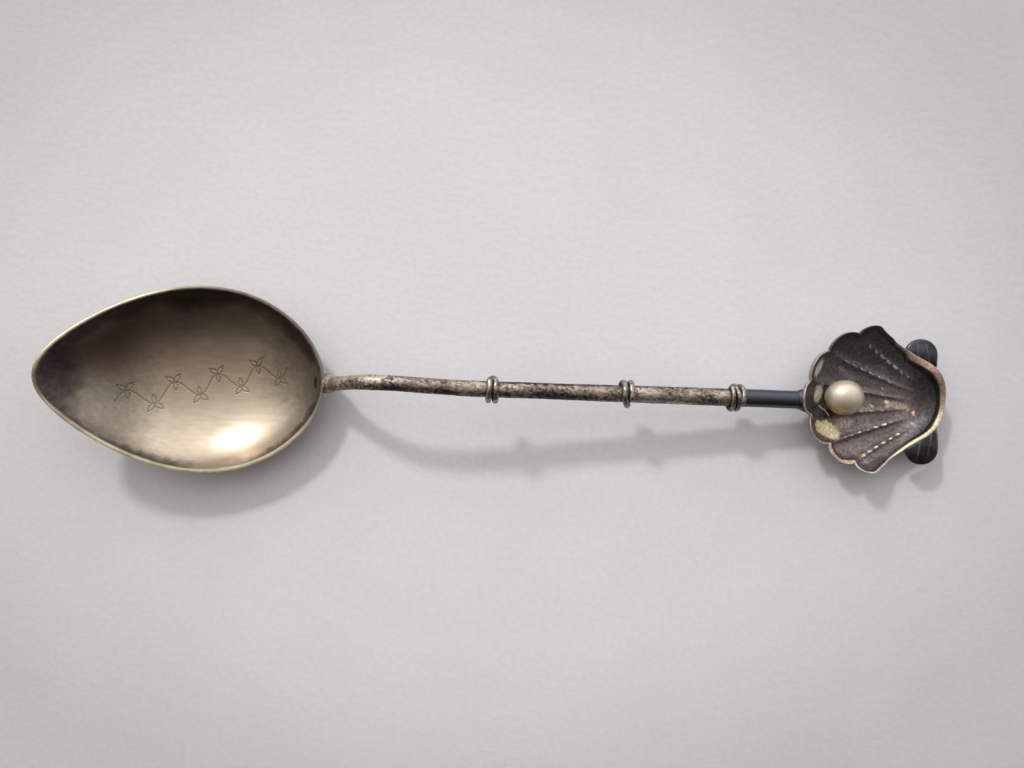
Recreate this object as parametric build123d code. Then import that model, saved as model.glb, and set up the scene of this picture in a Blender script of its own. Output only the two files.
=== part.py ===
from build123d import *

import math
import os

import numpy as np

# Silver souvenir spoon with a bamboo-knuckled stem and a scallop shell finial that holds a pearl.
#
# Frame, in millimetres: the spoon lies bowl up on the plane Z = 0. The origin is on the small wear
# flat under the bowl, +X runs along the spoon from the bowl to the shell, and +Y is to the left of
# someone who looks from the bowl towards the shell.

# Bowl: sheet metal, egg-shaped in plan, with a rim that sweeps up towards the tip.
BOWL_SHEET = 0.45
BOWL_MIDDLE_X = -4.75
BOWL_HALF_LENGTH = 16.3
BOWL_HALF_WIDTH = 11.37
BOWL_HEEL_FULLNESS = 1.70
BOWL_END_TAPER = -1.75
BOWL_DEPTH = 4.64
BOWL_WALL_SHARE = 0.35
RIM_LOW_X = 8.5
RIM_LOW_Z = 4.2
RIM_SWEEP = 0.00786

# Stem: round rod that leaves the heel of the bowl, arches over and runs straight down to the shell.
STEM_SLOPE_DEG = 5.6
STEM_STRAIGHT_START = (30.0, 8.38)
STEM_ROOT = (12.7, 3.45)
STEM_ROOT_DEG = 52.0
STEM_ROOT_PULL = 7.0
STEM_ARCH_PULL = 10.5
TONGUE_LENGTH = 2.0
TONGUE_RADII = (0.45, 0.85)
ARCH_RADII = (1.0, 0.91, 0.92, 0.95, 0.98, 1.0, 1.0, 1.0, 1.005, 1.01, 1.015)
STRAIGHT_START_RADIUS = 1.015
STEM_END_RADIUS = 1.16
STEM_TAPER_END_X = 66.8
STEM_END_X = 76.4

# Knuckles: each is one length of wire wound twice round the stem, as on a bamboo cane.
KNUCKLE_XS = (34.1, 51.2, 65.4)
KNUCKLE_START_DEGS = (150.0, 235.0, 205.0)
WIRE_RADIUS = 0.36
WIRE_PITCH = 0.88
WIRE_GAP = 0.02
TURN_DEG = 300.0
CROSSOVER_DEG = 60.0

# Shell: sheet metal dish with flutes that fan out from the hinge end to a lobed margin.
SHELL_SHEET = 0.5
FAN_X = 90.5
SHELL_MIDDLE_X = 83.9
SHELL_HALF_LENGTH = 9.6
SHELL_HALF_WIDTH = 9.2
SHELL_NOSE_NARROWING = 2.0
SHELL_END_TAPER = 1.0
SHELL_DEPTH = 4.05
SHELL_WALL_SHARE = 0.5
SHELL_RIM_Z = 4.5
SHELL_RIM_TILT = -0.073
FLUTE_DEG = 17.3
FAN_TURN_DEG = 1.0
RIDGE_FOCUS = (94.7, -0.3)
RIDGE_RADIUS = 0.55
GROOVE_RADIUS = 0.45
BEAD_START_REACH = 5.5
BEAD_OVERRUN = 0.25
BEAD_START_SHARE = 0.15
BEAD_SECTIONS = 7
LOBE_REACHES = (11.75, 13.55, 15.4, 16.5, 15.8, 14.4, 12.35)
NOTCH_REACHES = (11.85, 13.35, 15.0, 15.45, 14.35, 12.6)
SHOULDERS = ((84.5, -8.8), (84.1, 9.45))
NOSE_ENDS = ((90.3, -4.8), (90.3, 5.6))
NOSE_TIP = (93.3, 0.4)

# Ears: two domed tabs with rounded corners, soldered beside the hinge end of the shell.
LEFT_EAR_END = (90.05, 8.5)
RIGHT_EAR_END = (90.5, -7.95)
EAR_LENGTH = 5.5
EAR_WIDTH = 4.4
EAR_CORNER_RADIUS = 2.1
EAR_DOME_RADIUS = 7.0
EAR_SHEET = 0.5
EAR_TOP_Z = 3.75

# Pearl: a drop, half-drilled and cemented on a peg that stands in the shell.
PEARL_CENTRE = (79.98, 0.5, 4.2)
PEARL_RADIUS = 2.28
PEARL_TAIL = 2.62
PEG_RADIUS = 0.35
PEG_TOP_Z = 4.6
DRILL_RADIUS = 0.42
DRILL_TOP_Z = 4.75
CEMENT_RADIUS = 0.95
CEMENT_HEIGHT = 1.2

BOWL_DEGREES = (12, 10)
SHELL_DEGREES = (10, 10)
TALL = 30.0


def wall_curve(q, wall_share):
    """Share of the depth climbed at q, the squared distance from the middle of a dish in rim widths."""
    return (1 - wall_share) * q + wall_share * q**3


def bowl_rim_z(x):
    return RIM_LOW_Z + RIM_SWEEP * (x - RIM_LOW_X) ** 2


def bowl_inside_z(x, y):
    along = (x - BOWL_MIDDLE_X) / BOWL_HALF_LENGTH
    half_width = BOWL_HALF_WIDTH + BOWL_HEEL_FULLNESS * along + BOWL_END_TAPER * along**2
    q = along**2 + (y / half_width) ** 2
    return bowl_rim_z(x) - BOWL_DEPTH * (1 - wall_curve(q, BOWL_WALL_SHARE))


def shell_inside_z(x, y):
    """The dish of the shell, without its ridges."""
    along = (x - SHELL_MIDDLE_X) / SHELL_HALF_LENGTH
    half_width = SHELL_HALF_WIDTH - SHELL_NOSE_NARROWING * along - SHELL_END_TAPER * along**2
    q = along**2 + (y / half_width) ** 2
    rim_z = SHELL_RIM_Z + SHELL_RIM_TILT * (x - SHELL_MIDDLE_X)
    return rim_z - SHELL_DEPTH * (1 - wall_curve(q, SHELL_WALL_SHARE))


def outside_z(inside_z, sheet, x, y):
    """The underside of a sheet: the inside surface lowered so that the sheet keeps its thickness."""
    step = 0.01
    slope_x = (inside_z(x + step, y) - inside_z(x - step, y)) / (2 * step)
    slope_y = (inside_z(x, y + step) - inside_z(x, y - step)) / (2 * step)
    return inside_z(x, y) - sheet * math.sqrt(1 + slope_x**2 + slope_y**2)


def bernstein_matrix(degree):
    """Places between 0 and 1 that suit a curve of this degree, and its Bernstein terms at each place."""
    orders = range(degree + 1)
    places = [(1 - math.cos(math.pi * i / degree)) / 2 for i in orders]
    terms = [[math.comb(degree, j) * t**j * (1 - t) ** (degree - j) for j in orders] for t in places]
    return places, np.array(terms)


def above_surface(height, x_range, y_range, degrees, top):
    """The solid that stands on the surface z = height(x, y) over a rectangle, as one smooth patch."""
    x_places, x_terms = bernstein_matrix(degrees[0])
    y_places, y_terms = bernstein_matrix(degrees[1])
    xs = [x_range[0] + (x_range[1] - x_range[0]) * t for t in x_places]
    ys = [y_range[0] + (y_range[1] - y_range[0]) * t for t in y_places]
    heights = np.array([[height(x, y) for y in ys] for x in xs])
    poles_z = np.linalg.solve(y_terms, np.linalg.solve(x_terms, heights).T).T
    poles_x = np.linspace(*x_range, degrees[0] + 1)
    poles_y = np.linspace(*y_range, degrees[1] + 1)
    poles = [[(x, y, poles_z[i][j]) for j, y in enumerate(poles_y)] for i, x in enumerate(poles_x)]
    return Solid.extrude(Face.make_bezier_surface(poles), (0, 0, top))


def below_bowl_rim():
    """Everything under the rim curve, which is the same on both sides of the spoon."""
    x_low, x_high, floor = -30.0, 20.0, -10.0
    x_turn = (x_low + x_high) / 2
    curve = Bezier(
        (x_low, 0, bowl_rim_z(x_low)),
        (x_turn, 0, bowl_rim_z(x_low) + RIM_SWEEP * 2 * (x_low - RIM_LOW_X) * (x_turn - x_low)),
        (x_high, 0, bowl_rim_z(x_high)),
    )
    rest = Polyline(
        (x_high, 0, bowl_rim_z(x_high)), (x_high, 0, floor), (x_low, 0, floor), (x_low, 0, bowl_rim_z(x_low))
    )
    return extrude(make_face(curve.edges() + rest.edges()), amount=TALL, dir=(0, 1, 0), both=True)


def above_ground():
    return Pos(BOWL_MIDDLE_X + 40, 0, TALL) * Box(200, 80, 2 * TALL)


def biggest(shape):
    return max(shape.solids(), key=lambda solid: solid.volume)


def make_bowl():
    """Returns the bowl and its envelope, which is the bowl with its hollow filled up to the rim."""
    x_range, y_range = (-22.6, 12.9), (-12.6, 12.6)

    def underside(x, y):
        return outside_z(bowl_inside_z, BOWL_SHEET, x, y)

    envelope = biggest(above_surface(underside, x_range, y_range, BOWL_DEGREES, TALL) & below_bowl_rim())
    hollow = above_surface(bowl_inside_z, x_range, y_range, BOWL_DEGREES, 2 * TALL)
    bowl = biggest((envelope - hollow) & above_ground())
    return bowl, envelope


def fan_point(degrees, reach):
    angle = math.radians(degrees)
    return Vector(FAN_X - reach * math.cos(angle), reach * math.sin(angle))


def flute_degrees(count):
    """Direction on the fan, this many flutes from the right-hand flank of the shell."""
    return FAN_TURN_DEG + FLUTE_DEG * (count - len(LOBE_REACHES) / 2)


def shell_notches():
    return [fan_point(flute_degrees(i + 1), reach) for i, reach in enumerate(NOTCH_REACHES)]


def shell_outline():
    """The lobed margin in plan: an arc for each lobe, two straight flanks and a round nose."""
    tips = [fan_point(flute_degrees(i + 0.5), reach) for i, reach in enumerate(LOBE_REACHES)]
    corners = [SHOULDERS[0], *shell_notches(), SHOULDERS[1]]
    lines = [ThreePointArc(a, tip, b) for a, tip, b in zip(corners, tips, corners[1:])]
    lines.append(Line(SHOULDERS[1], NOSE_ENDS[1]))
    lines.append(ThreePointArc(NOSE_ENDS[1], NOSE_TIP, NOSE_ENDS[0]))
    lines.append(Line(NOSE_ENDS[0], SHOULDERS[0]))
    return make_face([edge for line in lines for edge in line.edges()])


def shell_underside_z(x, y):
    return outside_z(shell_inside_z, SHELL_SHEET, x, y)


def fan_bead(notch, overrun, height, thickness):
    """A tapered bead that follows a surface of the shell from the hinge end out past a notch."""
    focus = Vector(*RIDGE_FOCUS)
    outward = (notch - focus).normalized()
    end_reach = (notch - focus).length + overrun
    sections = []
    for i in range(BEAD_SECTIONS):
        share = i / (BEAD_SECTIONS - 1)
        reach = BEAD_START_REACH + (end_reach - BEAD_START_REACH) * share
        here, ahead = focus + outward * reach, focus + outward * (reach + 0.01)
        start = Vector(here.X, here.Y, height(here.X, here.Y))
        along = Vector(ahead.X, ahead.Y, height(ahead.X, ahead.Y)) - start
        radius = thickness * (BEAD_START_SHARE + (1 - BEAD_START_SHARE) * share)
        sections.append(Plane(origin=start, x_dir=(-outward.Y, outward.X, 0), z_dir=along) * Circle(radius))
    return loft(sections)


def make_shell():
    """Returns the shell, the space above its dish, and the dish with that space filled."""
    x_range, y_range = (73.9, 93.9), (-10.1, 10.1)
    trim = extrude(Pos(0, 0, -TALL / 2) * shell_outline(), amount=2 * TALL, dir=(0, 0, 1))
    envelope = biggest(above_surface(shell_underside_z, x_range, y_range, SHELL_DEGREES, TALL) & trim)
    hollow = above_surface(shell_inside_z, x_range, y_range, SHELL_DEGREES, 2 * TALL)
    shell = envelope - hollow
    for notch in shell_notches():
        shell += fan_bead(notch, BEAD_OVERRUN, shell_inside_z, RIDGE_RADIUS) & trim
        shell -= fan_bead(notch, 2 * BEAD_OVERRUN, shell_underside_z, GROOVE_RADIUS)
    shell = biggest(shell & above_ground())
    return shell, hollow, envelope


def stem_line_z(x):
    start_x, start_z = STEM_STRAIGHT_START
    return start_z - (x - start_x) * math.tan(math.radians(STEM_SLOPE_DEG))


def stem_plane(x):
    """A plane across the straight part of the stem, with its normal along the stem."""
    slope = math.radians(STEM_SLOPE_DEG)
    along = (math.cos(slope), 0, -math.sin(slope))
    return Plane(origin=(x, 0, stem_line_z(x)), x_dir=(0, 1, 0), z_dir=along)


def stem_radius(x):
    """Radius of the straight part, which tapers up to STEM_TAPER_END_X and is then constant."""
    start_x = STEM_STRAIGHT_START[0]
    share = min((x - start_x) / (STEM_TAPER_END_X - start_x), 1)
    return STRAIGHT_START_RADIUS + (STEM_END_RADIUS - STRAIGHT_START_RADIUS) * share


def distance_along_stem(x_from, x_to):
    return (x_to - x_from) / math.cos(math.radians(STEM_SLOPE_DEG))


def stem_arch():
    """The centre line from the root of the stem to the start of its straight part."""
    root = Vector(STEM_ROOT[0], 0, STEM_ROOT[1])
    end = Vector(STEM_STRAIGHT_START[0], 0, STEM_STRAIGHT_START[1])
    rise, slope = math.radians(STEM_ROOT_DEG), math.radians(STEM_SLOPE_DEG)
    root_pull = Vector(math.cos(rise), 0, math.sin(rise)) * STEM_ROOT_PULL
    arch_pull = Vector(-math.cos(slope), 0, math.sin(slope)) * STEM_ARCH_PULL
    return Bezier(root, root + root_pull, end + arch_pull, end)


def root_plane(distance):
    """A plane across the root of the stem, at a distance beyond the start of the arch."""
    rise = math.radians(STEM_ROOT_DEG)
    along = Vector(math.cos(rise), 0, math.sin(rise))
    origin = Vector(STEM_ROOT[0], 0, STEM_ROOT[1]) + along * distance
    return Plane(origin=origin, x_dir=(0, 1, 0), z_dir=along)


def make_stem(bowl_envelope, shell_envelope):
    arch = stem_arch()
    tip_radius, middle_radius = TONGUE_RADII
    sections = [
        root_plane(-TONGUE_LENGTH) * Circle(tip_radius),
        root_plane(-TONGUE_LENGTH / 2) * Circle(middle_radius),
    ]
    for i, radius in enumerate(ARCH_RADII):
        share = i / (len(ARCH_RADII) - 1)
        across = Plane(origin=arch @ share, x_dir=(0, 1, 0), z_dir=arch % share)
        sections.append(across * Circle(radius))
    start_x = STEM_STRAIGHT_START[0]
    curved = loft(sections)
    taper_length = distance_along_stem(start_x, STEM_TAPER_END_X)
    on_base = (Align.CENTER, Align.CENTER, Align.MIN)
    tapered = stem_plane(start_x) * Cone(STRAIGHT_START_RADIUS, STEM_END_RADIUS, taper_length, align=on_base)
    end_length = distance_along_stem(STEM_TAPER_END_X, STEM_END_X)
    end = stem_plane(STEM_TAPER_END_X) * Cylinder(STEM_END_RADIUS, end_length, align=on_base)
    return biggest(curved + tapered + end - bowl_envelope - shell_envelope)


def make_bowl_solder(stem, bowl_envelope):
    """The fillet of solder round the root of the stem, against the underside of the heel."""
    blob = loft([
        root_plane(-1.2) * Circle(1.2),
        root_plane(-0.3) * Circle(1.32),
        root_plane(0.6) * Circle(1.15),
        root_plane(1.5) * Circle(0.85),
    ])
    return biggest(blob - bowl_envelope - stem)


def make_shell_solder(stem, shell_envelope):
    """The fillet of solder round the end of the stem, against the back of the middle lobe."""
    blob = loft([stem_plane(x) * Circle(radius) for x, radius in ((73.4, 1.08), (74.4, 1.42), (75.4, 1.8))])
    return biggest(blob - shell_envelope - stem)


def make_knuckle(x, start_deg):
    """A wire wound twice round the stem. It crosses from the first turn to the second on top."""
    across = stem_plane(x)
    winding_radius = stem_radius(x + WIRE_PITCH) + WIRE_GAP + WIRE_RADIUS
    total = 2 * TURN_DEG + CROSSOVER_DEG
    step = 15.0
    points = []
    for i in range(int(total / step) + 1):
        turned = i * step
        share = min(max((turned - TURN_DEG) / CROSSOVER_DEG, 0), 1)
        shift = WIRE_PITCH * (share**2 * (3 - 2 * share) - 0.5)
        angle = math.radians(start_deg + turned)
        local = Vector(winding_radius * math.cos(angle), winding_radius * math.sin(angle), shift)
        points.append(across.from_local_coords(local))
    path = Spline(*points)
    end = Plane(origin=path @ 0, x_dir=across.z_dir, z_dir=path % 0)
    return sweep(end * Circle(WIRE_RADIUS), path=path)


def make_ear(end, shell_envelope):
    """A domed tab that reaches out to end, cut away where it meets the wall of the shell."""
    end_x, end_y = end
    middle_y = end_y - math.copysign(EAR_LENGTH / 2, end_y)
    dome_y = end_y - math.copysign(EAR_WIDTH / 2, end_y)
    dome = Sphere(EAR_DOME_RADIUS) - Sphere(EAR_DOME_RADIUS - EAR_SHEET)
    outline = RectangleRounded(EAR_WIDTH, EAR_LENGTH, EAR_CORNER_RADIUS)
    column = extrude(Pos(end_x, middle_y, 0) * outline, amount=TALL, dir=(0, 0, 1))
    tab = column & Pos(end_x, dome_y, EAR_TOP_Z - EAR_DOME_RADIUS) * dome
    return biggest(tab - shell_envelope)


def make_pearl_parts(shell_hollow):
    """The pearl with its drilled hole, the peg in the hole, and the cement round the peg."""
    x, y, z = PEARL_CENTRE
    tail_end = Vector(-PEARL_TAIL, 0)
    tail_pull = Vector(0, 0.55 * PEARL_RADIUS)
    shoulder = Vector(0, PEARL_RADIUS)
    shoulder_pull = Vector(-0.6 * PEARL_TAIL, 0)
    tail = Bezier(tail_end, tail_end + tail_pull, shoulder + shoulder_pull, shoulder)
    head = CenterArc((0, 0), PEARL_RADIUS, 0, 90)
    axis = Line(tail_end, (PEARL_RADIUS, 0))
    drop = revolve(make_face(tail.edges() + head.edges() + axis.edges()), Axis.X)
    drill = Pos(x, y, DRILL_TOP_Z - TALL / 2) * Cylinder(DRILL_RADIUS, TALL)
    pearl = biggest(Pos(x, y, z) * drop - drill)
    bar = Pos(x, y, PEG_TOP_Z - TALL / 2) * Cylinder(PEG_RADIUS, TALL)
    peg = biggest(bar & shell_hollow)
    pad = Pos(x, y, z - PEARL_RADIUS) * Cylinder(CEMENT_RADIUS, CEMENT_HEIGHT)
    lining = drill & Pos(x, y, z) * Box(2, 2, 2 * PEARL_RADIUS)
    cement = biggest((pad + lining - pearl - bar) & shell_hollow)
    return pearl, peg, cement


def main():
    os.makedirs("parts", exist_ok=True)
    bowl, bowl_envelope = make_bowl()
    shell, shell_hollow, shell_envelope = make_shell()
    stem = make_stem(bowl_envelope, shell_envelope)
    pearl, peg, cement = make_pearl_parts(shell_hollow)
    nodes = {
        "bowl": bowl,
        "stem": stem,
        "bowl_solder": make_bowl_solder(stem, bowl_envelope),
        "shell": shell,
        "shell_solder": make_shell_solder(stem, shell_envelope),
        "left_ear": make_ear(LEFT_EAR_END, shell_envelope),
        "right_ear": make_ear(RIGHT_EAR_END, shell_envelope),
        "pearl": pearl,
        "pearl_peg": peg,
        "pearl_cement": cement,
    }
    for i, (x, start_deg) in enumerate(zip(KNUCKLE_XS, KNUCKLE_START_DEGS), start=1):
        nodes[f"knuckle_wire_{i}"] = make_knuckle(x, start_deg)
    for name, shape in nodes.items():
        export_step(shape, f"parts/{name}.step")


main()
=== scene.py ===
import math

import bmesh
import bpy
import numpy as np
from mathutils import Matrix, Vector, kdtree


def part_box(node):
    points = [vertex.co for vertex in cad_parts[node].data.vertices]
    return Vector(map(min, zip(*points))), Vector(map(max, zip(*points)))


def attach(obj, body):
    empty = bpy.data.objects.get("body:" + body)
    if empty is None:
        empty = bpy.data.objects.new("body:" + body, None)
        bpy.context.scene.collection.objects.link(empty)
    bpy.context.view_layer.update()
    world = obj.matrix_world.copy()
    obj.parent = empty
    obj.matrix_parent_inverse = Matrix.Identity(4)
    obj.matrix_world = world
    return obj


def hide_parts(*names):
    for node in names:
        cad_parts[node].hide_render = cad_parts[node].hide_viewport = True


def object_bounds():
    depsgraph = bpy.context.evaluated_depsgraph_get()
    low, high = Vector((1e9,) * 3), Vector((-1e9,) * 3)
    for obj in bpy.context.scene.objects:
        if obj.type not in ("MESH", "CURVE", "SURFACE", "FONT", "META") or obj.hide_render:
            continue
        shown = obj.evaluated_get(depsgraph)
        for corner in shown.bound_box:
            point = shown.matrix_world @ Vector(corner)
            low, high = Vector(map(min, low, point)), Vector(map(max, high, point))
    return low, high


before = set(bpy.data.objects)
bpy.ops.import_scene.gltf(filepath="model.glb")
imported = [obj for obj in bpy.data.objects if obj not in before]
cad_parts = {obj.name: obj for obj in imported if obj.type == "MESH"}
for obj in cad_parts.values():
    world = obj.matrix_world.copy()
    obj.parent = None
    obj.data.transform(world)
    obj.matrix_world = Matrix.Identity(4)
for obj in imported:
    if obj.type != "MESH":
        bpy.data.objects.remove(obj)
cad_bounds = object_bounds()

MM = 0.001
SEED = 7

# Bowl, in millimetres like every length below.
BOWL_SHEET = 0.45
BOWL_MIDDLE_X = -4.75
BOWL_HALF_LENGTH = 16.3
BOWL_HALF_WIDTH = 11.37
BOWL_HEEL_FULLNESS = 1.70
BOWL_END_TAPER = -1.75
BOWL_DEPTH = 4.64
BOWL_WALL_SHARE = 0.35
RIM_LOW_X = 8.5
RIM_LOW_Z = 4.2
RIM_SWEEP = 0.00786

# Engraved band in the bowl: a running vine with leaves, cut as a wriggled line.
BAND_CENTRE = (-3.9, -0.7)
BAND_TURN_DEG = 13.6
BAND_LENGTH = 21.6
BAND_WAVES = 4
BAND_HALF_HEIGHT = 1.15
# Leaves at each crest of the vine: direction from along the band in degrees, length and half width.
BAND_LEAVES = ((45, 1.25, 0.27), (135, 1.25, 0.27), (-90, 1.15, 0.24))
CUT_DEPTH = 0.022
CUT_HALF_WIDTH = 0.085
WRIGGLE_WIDTH = 0.13
WRIGGLE_PITCH = 0.17

# Stem
STEM_SLOPE_DEG = 5.6
STEM_STRAIGHT_START = (30.0, 8.38)
STEM_ROOT = (12.7, 3.45)
STEM_ROOT_DEG = 52.0
STEM_ROOT_PULL = 7.0
STEM_ARCH_PULL = 10.5
STEM_ROOT_OVERRUN = 0.9
ARCH_RADII = (1.0, 0.91, 0.92, 0.95, 0.98, 1.0, 1.0, 1.0, 1.005, 1.01, 1.015)
STEM_END_RADIUS = 1.16
STEM_TAPER_END_X = 66.8
STEM_END_X = 76.0
# The hand-made unevenness dies away before this place.
STEM_FREE_END_X = 72.0
# The dark, smooth neck starts here.
STEM_NECK_X = 66.2
# The arch bows this far to the side.
STEM_BOW = 0.36

# Knuckles: place along the stem, radius of the wire, angle it starts at, angles it winds through before,
# while and after it crosses to the next turn, and distance between the turns.
WIRE_GAP = 0.02
KNUCKLES = (
    {"x": 34.1, "radius": 0.36, "start_deg": 40.0, "wind_degs": (235.0, 150.0, 230.0), "pitch": 0.86},
    {"x": 51.2, "radius": 0.36, "start_deg": 250.0, "wind_degs": (200.0, 150.0, 230.0), "pitch": 0.90},
    {"x": 65.4, "radius": 0.32, "start_deg": 30.0, "wind_degs": (0.0, 800.0, 0.0), "pitch": 1.30},
)

# Shell
SHELL_SHEET = 0.5
FAN_X = 90.5
FAN_TURN_DEG = 1.0
FLUTE_DEG = 17.3
SHELL_MIDDLE_X = 83.9
SHELL_HALF_LENGTH = 9.6
SHELL_HALF_WIDTH = 9.2
SHELL_NOSE_NARROWING = 2.0
SHELL_END_TAPER = 1.0
SHELL_DEPTH = 4.05
SHELL_WALL_SHARE = 0.5
SHELL_RIM_Z = 4.5
SHELL_RIM_TILT = -0.073
LOBE_REACHES = (11.75, 13.55, 15.4, 16.5, 15.8, 14.4, 12.35)
NOTCH_REACHES = (11.85, 13.35, 15.0, 15.45, 14.35, 12.6)
SHOULDERS = ((84.5, -8.8), (84.1, 9.45))
NOSE_ENDS = ((90.3, -4.8), (90.3, 5.6))
NOSE_TIP = (93.3, 0.4)
RIDGE_FOCUS = (94.7, -0.3)
RIDGE_START = 5.0
RIDGE_HEIGHT = 0.5
# Where the mesh's rings and the rim's directions start from, and where the lobes give way to the flanks.
GRID_CENTRE = (86.5, 0.0)
RIM_CENTRE_X = 84.5
FLANKS_START_X = 84.6

# Ears and pearl
EARS = {"left_ear": (90.05, 8.5), "right_ear": (90.5, -7.95)}
EAR_LENGTH = 5.5
EAR_WIDTH = 4.4
EAR_CORNER_RADIUS = 2.1
EAR_DOME_RADIUS = 7.0
EAR_SHEET = 0.5
EAR_TOP_Z = 3.75
PEARL_RADIUS = 2.28
PEARL_TAIL = 2.62
# The pearl is golden on this side.
PEARL_GOLD_WAY = (-0.62, -0.60, -0.10)


# ---------------------------------------------------------------- helpers

def smoothstep(t):
    t = np.clip(t, 0, 1)
    return t * t * (3 - 2 * t)


def spot(x, y, centre, half_length, half_width, spread=1.5):
    """1 at the centre of a soft oval patch, 0 away from it."""
    return smoothstep(spread - np.hypot((x - centre[0]) / half_length, (y - centre[1]) / half_width))


def lerp(a, b, share):
    return np.asarray(a) + (np.asarray(b) - np.asarray(a)) * np.asarray(share)[..., None]


def flat_points(x, y):
    return np.stack([x, y, np.zeros(len(x))], axis=1)


def travelled(line):
    """How far along a line each of its points is."""
    return np.concatenate([[0], np.cumsum(np.linalg.norm(np.diff(line, axis=0), axis=1))])


def bezier(t, p0, p1, p2, p3):
    p0, p1, p2, p3, t = *map(np.asarray, (p0, p1, p2, p3)), t[:, None]
    return (1 - t) ** 3 * p0 + 3 * (1 - t) ** 2 * t * p1 + 3 * (1 - t) * t**2 * p2 + t**3 * p3


def value_noise(points, scale, number):
    """Smooth noise in -1..1 at each point, from a hash of the corners of a cubic lattice. The number
    picks the pattern."""
    p = np.asarray(points, float) / scale
    cell = np.floor(p).astype(np.int64)
    f = smoothstep(p - cell)
    total = np.zeros(len(p))
    for dx in (0, 1):
        for dy in (0, 1):
            for dz in (0, 1):
                h = (cell[:, 0] + dx) * 374761393 + (cell[:, 1] + dy) * 668265263
                h = h + (cell[:, 2] + dz) * 2147483647 + (SEED + number) * 974711
                h = (h ^ (h >> 13)) * 1274126177
                h = (h ^ (h >> 16)) & 0xFFFFFF
                w = (f[:, 0] if dx else 1 - f[:, 0]) * (f[:, 1] if dy else 1 - f[:, 1])
                w = w * (f[:, 2] if dz else 1 - f[:, 2])
                total += w * (h / 0xFFFFFF * 2 - 1)
    return total


def fractal_noise(points, scale, number):
    """Three sizes of noise, each half the size and half the strength of the one before."""
    octaves = [value_noise(points, scale / 2**k, number + k) * 0.5**k for k in range(3)]
    return sum(octaves, np.zeros(len(points))) / 1.75


def mesh_object(name, points, faces, material, replaced, paints):
    """Makes one visual piece from points in millimetres, with values painted on its points."""
    mesh = bpy.data.meshes.new(name)
    mesh.from_pydata([tuple(p) for p in np.asarray(points) * MM], [], [list(f) for f in faces])
    mesh.validate()
    bm = bmesh.new()
    bm.from_mesh(mesh)
    bmesh.ops.recalc_face_normals(bm, faces=bm.faces)
    bm.to_mesh(mesh)
    bm.free()
    mesh.polygons.foreach_set("use_smooth", [True] * len(mesh.polygons))
    for paint_name, values in paints.items():
        values = np.asarray(values, np.float32)
        if values.ndim == 1:
            mesh.attributes.new(paint_name, "FLOAT", "POINT").data.foreach_set("value", values)
        else:
            rgba = np.concatenate([values, np.ones((len(values), 1), np.float32)], axis=1)
            mesh.attributes.new(paint_name, "FLOAT_COLOR", "POINT").data.foreach_set("color", rgba.ravel())
    mesh.materials.append(material)
    obj = bpy.data.objects.new(name, mesh)
    bpy.context.scene.collection.objects.link(obj)
    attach(obj, "root")
    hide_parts(replaced)


def bridge(faces, loops):
    """Adds quads between each closed loop of points and the next."""
    for a, b in zip(loops, loops[1:]):
        n = len(a)
        faces += [(a[i], a[(i + 1) % n], b[(i + 1) % n], b[i]) for i in range(n)]


def fan_faces(centre, ring):
    """Triangles between a closed loop of points and one in its middle."""
    return [(centre, ring[i], ring[(i + 1) % len(ring)]) for i in range(len(ring))]


def grid_faces(index):
    """Quads between the points of a grid."""
    rows, columns = index.shape
    corners = ((0, 0), (1, 0), (1, 1), (0, 1))
    return [
        tuple(int(index[i + a, j + b]) for a, b in corners)
        for i in range(rows - 1)
        for j in range(columns - 1)
    ]


def surface_normals(height, x, y, step=0.01):
    slope_x = (height(x + step, y) - height(x - step, y)) / (2 * step)
    slope_y = (height(x, y + step) - height(x, y - step)) / (2 * step)
    length = np.sqrt(1 + slope_x**2 + slope_y**2)
    return np.stack([-slope_x / length, -slope_y / length, 1 / length], axis=-1)


def tube(points, radii, sides, side_hint):
    """A tube round a line, closed at both ends, and the centre behind each of its points."""
    points, radii = np.asarray(points, float), np.asarray(radii, float)
    tangents = np.gradient(points, axis=0)
    tangents /= np.linalg.norm(tangents, axis=1)[:, None]
    hint = np.asarray(side_hint, float)
    verts, faces, rings = [], [], []
    for p, t, r in zip(points, tangents, radii):
        a = hint - t * np.dot(hint, t)
        a /= np.linalg.norm(a)
        b = np.cross(t, a)
        hint = a
        rings.append(list(range(len(verts), len(verts) + sides)))
        for k in range(sides):
            angle = 2 * math.pi * k / sides
            verts.append(p + r * (math.cos(angle) * a + math.sin(angle) * b))
    bridge(faces, rings)
    faces += fan_faces(len(verts), rings[0][::-1]) + fan_faces(len(verts) + 1, rings[-1])
    verts += [points[0], points[-1]]
    centres = np.concatenate([np.repeat(points, sides, axis=0), points[:1], points[-1:]])
    return np.array(verts), faces, centres


# ---------------------------------------------------------------- materials

def feed(tree, socket, value):
    """Links this socket, or sets its value."""
    if isinstance(value, bpy.types.NodeSocket):
        tree.links.new(value, socket)
    elif isinstance(value, tuple) and socket.type == "RGBA":
        socket.default_value = (*value, 1)
    else:
        socket.default_value = value


def add_node(tree, kind, inputs, output=0, **settings):
    """Adds a node with these settings and inputs, and returns one of its outputs."""
    node = tree.nodes.new("ShaderNode" + kind)
    for name, value in settings.items():
        setattr(node, name, value)
    for name, value in inputs.items():
        feed(tree, node.inputs[name], value)
    return node.outputs[output]


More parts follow.
